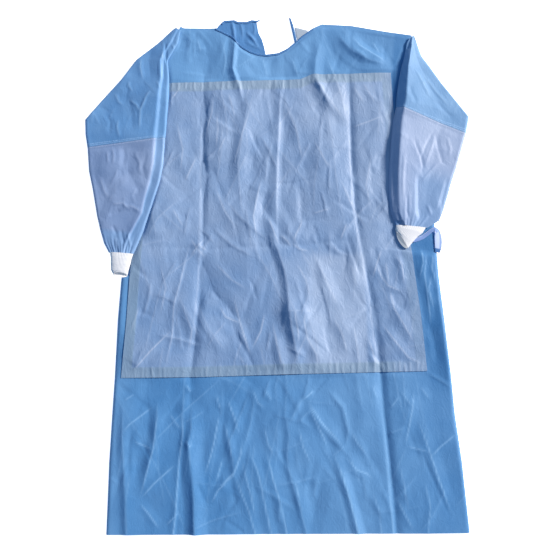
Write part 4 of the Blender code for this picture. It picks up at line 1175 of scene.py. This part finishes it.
def sleeve(name, ribs, creases, seed, loose, lower, pale, bluish, material):
    """One length of sleeve: rises from its outer edge to a long fold, then falls to its inner edge.

    The height across follows the rib table, eased over five columns; folds strewn by chance, the table's
    own creases and, near the wrist of a lower length, gathers along the sleeve are added where the cloth
    is free to move. Its seam is at the elbow, and a bluer strip starts at a distance from it.
    """
    middle = [((r[0] + r[2]) / 2, (r[1] + r[3]) / 2, *r) for r in ribs]
    length = along(middle, 2)[1][-1] * MM
    rows = grid_steps(length, SLEEVE_SPACING[0], 4)
    table, travel = along(middle, rows)
    table, travel = table[:, 2:], travel * MM
    outer, inner = table[:, 0:2] * MM, table[:, 2:4] * MM
    widths = np.hypot(*(inner - outer).T)
    columns = grid_steps(widths.max(), SLEEVE_SPACING[1], 4)
    s = np.linspace(0, 1, columns)
    plan = outer[:, None, :] * (1 - s)[None, :, None] + inner[:, None, :] * s[None, :, None]
    x, y = plan[..., 0], plan[..., 1]
    steep = table[:, 5] - table[:, 6] > STEEP_FROM
    ledge = table[:, 4] + np.minimum(LEDGE_RUN * MM / widths, (1 - table[:, 4]) / 2)
    z = np.empty(x.shape)
    for k in range(rows):
        fold, top, low = table[k, 4:7]
        knots, heights = [0, *SWELL_SHARES, fold, 1], [SWELL_HEIGHTS[0], *SWELL_HEIGHTS, top, low]
        if not steep[k]:
            knots.insert(-1, ledge[k])
            heights[-1:] = low - LEDGE_DROP, low - LEDGE_DROP + INNER_RISE
        z[k] = np.interp(s, knots, heights) * MM
    wide = np.pad(z, ((0, 0), (2, 2)), mode="edge")
    z = sum(w * wide[:, k : k + columns] for k, w in enumerate((0.1, 0.2, 0.4, 0.2, 0.1)))
    across = s[None, :] * widths[:, None]
    base = support(x, y)
    free = edge_round(across, 0.014) * edge_round(widths[:, None] - across, 0.010)
    fine, worn = creased(x, y, creases, *SLEEVE_SHARP)
    low, high = (x.min() / MM, y.min() / MM), (x.max() / MM, y.max() / MM)
    strewn, strewn_worn = crumpled(x, y, low, high, 26, seed, 0.8, (20, 70), (4, 8), 0.3)
    facets = crumpled(x, y, low, high, 12, seed + 2, 1.8, (60, 160), (14, 26), 0.3)[0]
    fine = fine + loose * (strewn + facets + undulating(x, y, seed + 1, 0.10, 1.4))
    from_seam = (travel if lower else travel[-1] - travel)[:, None] + 0 * x
    fine = fine * smooth(from_seam / 0.020) + SEAM_RISE * (from_seam < SEAM_WIDTH)
    if lower:
        near_cuff = smooth((travel / travel[-1] - 0.72) / 0.28)[:, None]
        for height, waves, phase, power in GATHERS:
            fine = fine + height * near_cuff**power * np.sin(2 * np.pi * waves * s[None, :] + phase)
    z = z + fine * free
    on_ledge = np.where(steep, 0.0, 1.0)[:, None] * smooth((s[None, :] - ledge[:, None] + 0.02) / 0.02)
    strength, start, blur, reach = bluish
    beyond = smooth((from_seam - start - 0.10 * (s[None, :] - 0.4) * widths[:, None]) / blur)
    sky = np.maximum(0.6 * on_ledge, strength * beyond * (1.0 - smooth((s[None, :] - reach) / 0.4)))
    rim = base + SLEEVE_RIM
    closing = edge_round(across, 0.008) * edge_round(widths[:, None] - across, 0.006)
    z = rim + np.maximum(z - rim, SLEEVE_THICKNESS) * closing
    uv = np.stack([across, from_seam], -1)
    turned = slice(None, None, -1) if outer[0, 0] < 0 else slice(None)
    # Paler crests: wear and painted highlight.
    piece = cloth(
        name, np.stack([x, y, z], -1)[turned], 0.0, material, ends=False,
        floor_height=(base + SLEEVE_UNDERSIDE)[turned], uv=uv[turned],
        worn=(np.maximum(SLEEVE_WEAR_AND_HIGHLIGHT * worn, loose * strewn_worn) * free)[turned],
        # painted highlight, from the first pale value at the seam to the second one the reach away
        paleness=np.interp(from_seam, (0.0, HIGHLIGHT_REACH), pale)[turned], sky=sky[turned],
    )
    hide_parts(name)
    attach(piece, "root")


upper_material = cloth_material("sleeve_cloth", SLEEVE_BLUE, SLEEVE_PALE)
stitched(upper_material, UPPER_THREAD, 0.0025, 0.006)
tinted(upper_material, "sky", SKY_BLUE, 0.6)
lower_material = cloth_material("forearm_cloth", LOWER_LAVENDER, LOWER_PALE, roughness=0.5, blotch=0.22)
stitched(lower_material, LOWER_THREAD, 0.003)
tinted(lower_material, "sky", SKY_BLUE, 0.9)
sleeve(
    "sleeve_left_upper", LEFT_UPPER_RIBS, LEFT_UPPER_CREASES, 41, 1.0, False, (0.0, 0.0),
    (0.0, 0.0, 0.01, 1.0), upper_material,
)
sleeve(
    "sleeve_left_lower", LEFT_LOWER_RIBS, LEFT_LOWER_CREASES, 43, 1.0, True, (0.0, 0.0),
    (0.5, 0.22, 0.014, 0.7), lower_material,
)
# The right sleeve faces the light: both its lengths get a painted highlight, strongest at the elbow on the
# lower one.
sleeve(
    "sleeve_right_upper", RIGHT_UPPER_RIBS, RIGHT_UPPER_CREASES, 45, 0.45, False, (0.15, 0.15),
    (0.0, 0.0, 0.01, 1.0), upper_material,
)
sleeve(
    "sleeve_right_lower", RIGHT_LOWER_RIBS, RIGHT_LOWER_CREASES, 47, 0.6, True, (0.37, 0.05),
    (0.45, 0.10, 0.07, 0.35), lower_material,
)


# Cuffs: two short tubes of white rib knit sewn to the gathered ends of the sleeves. The right one is
# pushed back on itself, so that its mouth gapes towards the body.
LEFT_CUFF_RINGS = (
    # outer x, outer y, inner x, inner y, crown height, lower lip, upper lip
    (-404.4, 9.4, -347.1, 5.3, 15, 0, 0),
    (-401, -4, -351, -7, 16, 0, 0),
    (-400, -19, -353, -20, 16, 0, 0),
    (-399, -34, -357, -36, 15, 0, 0),
    (-393, -44, -359, -48, 14, 5, -6),
)
RIGHT_CUFF_RINGS = (
    # outer x, outer y, inner x, inner y, crown height, lower lip, upper lip
    (357.4, 70.2, 285.8, 76.7, 15, 0, 0),
    (349, 57, 285, 71, 17, 1, 0),
    (336, 47, 284, 66, 17, 3, 0),
    (324, 34, 285, 62, 17, 6, 0),
    (312, 19, 289, 60, 16, 9, 0),
)
# The cuffs' insides are painted pale and glow, painted light where they lie in shade; grooves between the
# ribs get painted shade.
RIBS_ROUND, RIB_HEIGHT, KNIT_WALL, KNIT_PAINTED_GLOW, CUFF_STEPS = 44, 0.35, 1.3, 0.30, 33
LIP_RISE, KNIT_GAP, RIM_WIDTH, RIM_RUN, INSIDE_LEAST_PAINTED_LIGHT = 0.0018, 0.0003, 3.4, 1.6, 0.25
KNIT_WHITE, KNIT_SHADE, KNIT_INSIDE_PAINTED_LIGHT = (0.80, 0.82, 0.85), (0.60, 0.64, 0.70), (0.92, 0.87, 0.82)


def knit_material():
    """White rib knit: rows of slanted stitches, painted shade between the ribs, and painted light and a glow
    inside.
    """
    material = bpy.data.materials.new("knit")
    material.use_nodes = True
    tree = material.node_tree
    surface = tree.nodes["Principled BSDF"]
    surface.inputs["Roughness"].default_value = 0.85
    surface.inputs["Sheen Weight"].default_value = 0.25
    surface.inputs["Emission Color"].default_value = (*KNIT_INSIDE_PAINTED_LIGHT, 1.0)
    # The inside wall is painted pale and glows: painted light where it lies in shade.
    inside = marked(tree, "inside")
    # Grooves between the ribs are painted darker: painted shade.
    outer = mixed(tree, marked(tree, "rib"), (*KNIT_SHADE, 1.0), (*KNIT_WHITE, 1.0))
    tree.links.new(mixed(tree, inside, outer, (*KNIT_INSIDE_PAINTED_LIGHT, 1.0)), surface.inputs["Base Color"])
    tree.links.new(maths(tree, "MULTIPLY", inside, KNIT_PAINTED_GLOW), surface.inputs["Emission Strength"])
    loops = wired(tree, "ShaderNodeTexWave", {"wave_type": "BANDS", "bands_direction": "Y"}, {
        "Scale": 260.0, "Distortion": 0.5, "Vector": tree.nodes.new("ShaderNodeTexCoord").outputs["UV"],
    })
    bump = wired(tree, "ShaderNodeBump", {}, {
        "Distance": 0.0003, "Strength": 0.25, "Height": loops.outputs["Fac"],
    })
    tree.links.new(bump.outputs["Normal"], surface.inputs["Normal"])
    return material


def cuff(name, rings, material):
    """A knit tube with two walls, ribs along it and rounded lips; its layers bow along it by the lips."""
    middle = [((r[0] + r[2]) / 2, (r[1] + r[3]) / 2, *r) for r in rings]
    table, travel = along(middle, CUFF_STEPS)
    table = table[:, 2:] * MM
    around = RIBS_ROUND * 6
    turn = np.linspace(0, 2 * np.pi, around, endpoint=False)[None, :]
    share = (1 - np.cos(turn)) / 2
    upper = np.sin(turn) > 0
    outer, inner = table[:, None, 0:2], table[:, None, 2:4]
    across = inner - outer
    width = np.hypot(across[..., 0], across[..., 1])
    forward = np.stack([-across[..., 1], across[..., 0]], -1) / width[..., None]
    forward = forward * -np.sign(forward[..., 1:2])
    swell = np.abs(np.sin(turn))
    bow = np.where(upper, table[:, 6:7], table[:, 5:6]) * swell
    rib = (np.cos(turn * RIBS_ROUND) + 1) / 2
    walls = []
    for inset, grooves in ((0.0, 1.0), (KNIT_WALL * MM, 0.5)):
        squeeze = (inset + (1 - rib) * RIB_HEIGHT * MM * grooves) / width
        spot = squeeze + share * (1 - 2 * squeeze)
        plan = outer + spot[..., None] * across + bow[..., None] * forward
        base = support(plan[..., 0], plan[..., 1])
        edge = base + LIP_RISE
        crown = edge + (table[:, 4:5] - edge) * swell**0.7
        low = edge + (base + KNIT_GAP - edge) * np.minimum(swell * 3, 1.0)
        z = np.where(upper, crown - inset * swell, low + inset * swell)
        z = z - upper * (1 - rib) * RIB_HEIGHT * MM * grooves
        walls.append(np.concatenate([plan, z[..., None]], -1))
    points = np.concatenate([walls[0], walls[1][::-1]]).reshape(-1, 3)
    numbers = np.arange(len(points)).reshape(-1, around)
    beside, onward = np.roll(numbers, -1, 1), np.roll(numbers, -1, 0)
    faces = np.stack([numbers, beside, np.roll(beside, -1, 0), onward], -1).reshape(-1, 4)
    if rings[0][0] > 0:
        faces = faces[:, ::-1]
    uv = np.stack([turn / (2 * np.pi) * 2 * width + 0 * width, travel[:, None] * MM + 0 * turn], -1)
    uv = np.concatenate([uv, uv[::-1]]).reshape(-1, 2)
    ribs = np.concatenate([rib + 0 * width] * 2).ravel()
    # Painted light on the inner wall: a little all along, in full over the last few millimetres inside the
    # mouth.
    rim = ramp(travel - travel[-1], -RIM_WIDTH, RIM_RUN)[::-1, None] + 0 * rib
    inside = np.concatenate([0 * rib + 0 * width, INSIDE_LEAST_PAINTED_LIGHT + (1 - INSIDE_LEAST_PAINTED_LIGHT) * rim]).ravel()
    piece = new_piece(name, points, faces.tolist(), material, uv, rib=ribs, inside=inside)
    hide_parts(name)
    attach(piece, "root")


knit = knit_material()
cuff("cuff_left", LEFT_CUFF_RINGS, knit)
cuff("cuff_right", RIGHT_CUFF_RINGS, knit)


# Waist tie: a narrow strip of pale nonwoven, folded double and stitched. It leaves the side beside the
# right cuff, turns over and comes back in a loop.
TIE_SECTIONS = (
    # x, y, z, half width, tilt in degrees
    (326, 38, 5.5, 4, 0),
    (337, 42, 5.5, 5, 0),
    (349, 47, 5.6, 5, 3),
    (360, 55, 6.1, 5, 6),
    (370, 63, 6.4, 5, 8),
    (380, 68, 7, 5, 15),
    (387, 62, 6.3, 6.5, 20),
    (387.5, 50, 5.2, 9, 12),
    (387.5, 36, 5.0, 9.5, 10),
    (386.5, 22, 4.8, 8.5, 10),
    (383.5, 10, 4.8, 6, 12),
)
TIE_BLUE, TIE_PALE, TIE_FOOT, TIE_THREAD = (
    (0.16, 0.28, 0.60), (0.5, 0.6, 0.82), (0.03, 0.13, 0.36), (0.55, 0.65, 0.85)
)
table, travel = along(TIE_SECTIONS, 97)
middle = table[:, 0:3] * MM
run = np.gradient(middle[:, :2], axis=0)
run = run / np.hypot(*run.T)[:, None]
tilt = np.radians(table[:, 4:5])
s = np.linspace(-1, 1, 13)[None, :]
half = table[:, 3:4] * MM
x = middle[:, 0:1] + run[:, 1:2] * np.cos(tilt) * half * s
y = middle[:, 1:2] - run[:, 0:1] * np.cos(tilt) * half * s
z = middle[:, 2:3] + np.sin(tilt) * half * s + 0.0003
thick = 0.0008 * (0.3 + 0.7 * pillow((s + 1) / 2)) + 0.0002 * np.sin(travel[:, None] / 7.0)
tie_material = cloth_material("tie_cloth", TIE_BLUE, TIE_PALE, blotch=0.1, wrinkle=0.15)
stitched(tie_material, TIE_THREAD, 0.0015)
tinted(tie_material, "foot", TIE_FOOT, 1.0)
# Painted light: the loop's inside face, from 70 mm along the tie on, is painted pale over most of its width.
waist_tie = cloth(
    "waist_tie", np.stack([x, y, z + thick], -1), 0.0, tie_material, step=1, floor_height=z,
    uv=np.stack([travel[:, None] * MM + 0 * x, (s + 1) * half], -1),
    paleness=0.8 * ramp(s, -0.45, 0.25) * ramp(travel[:, None], 70.0, 8.0),
    foot=ramp(travel[:, None] - travel[-1], -11.0, 3.0) + 0 * x,
)
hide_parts("waist_tie")
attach(waist_tie, "root")
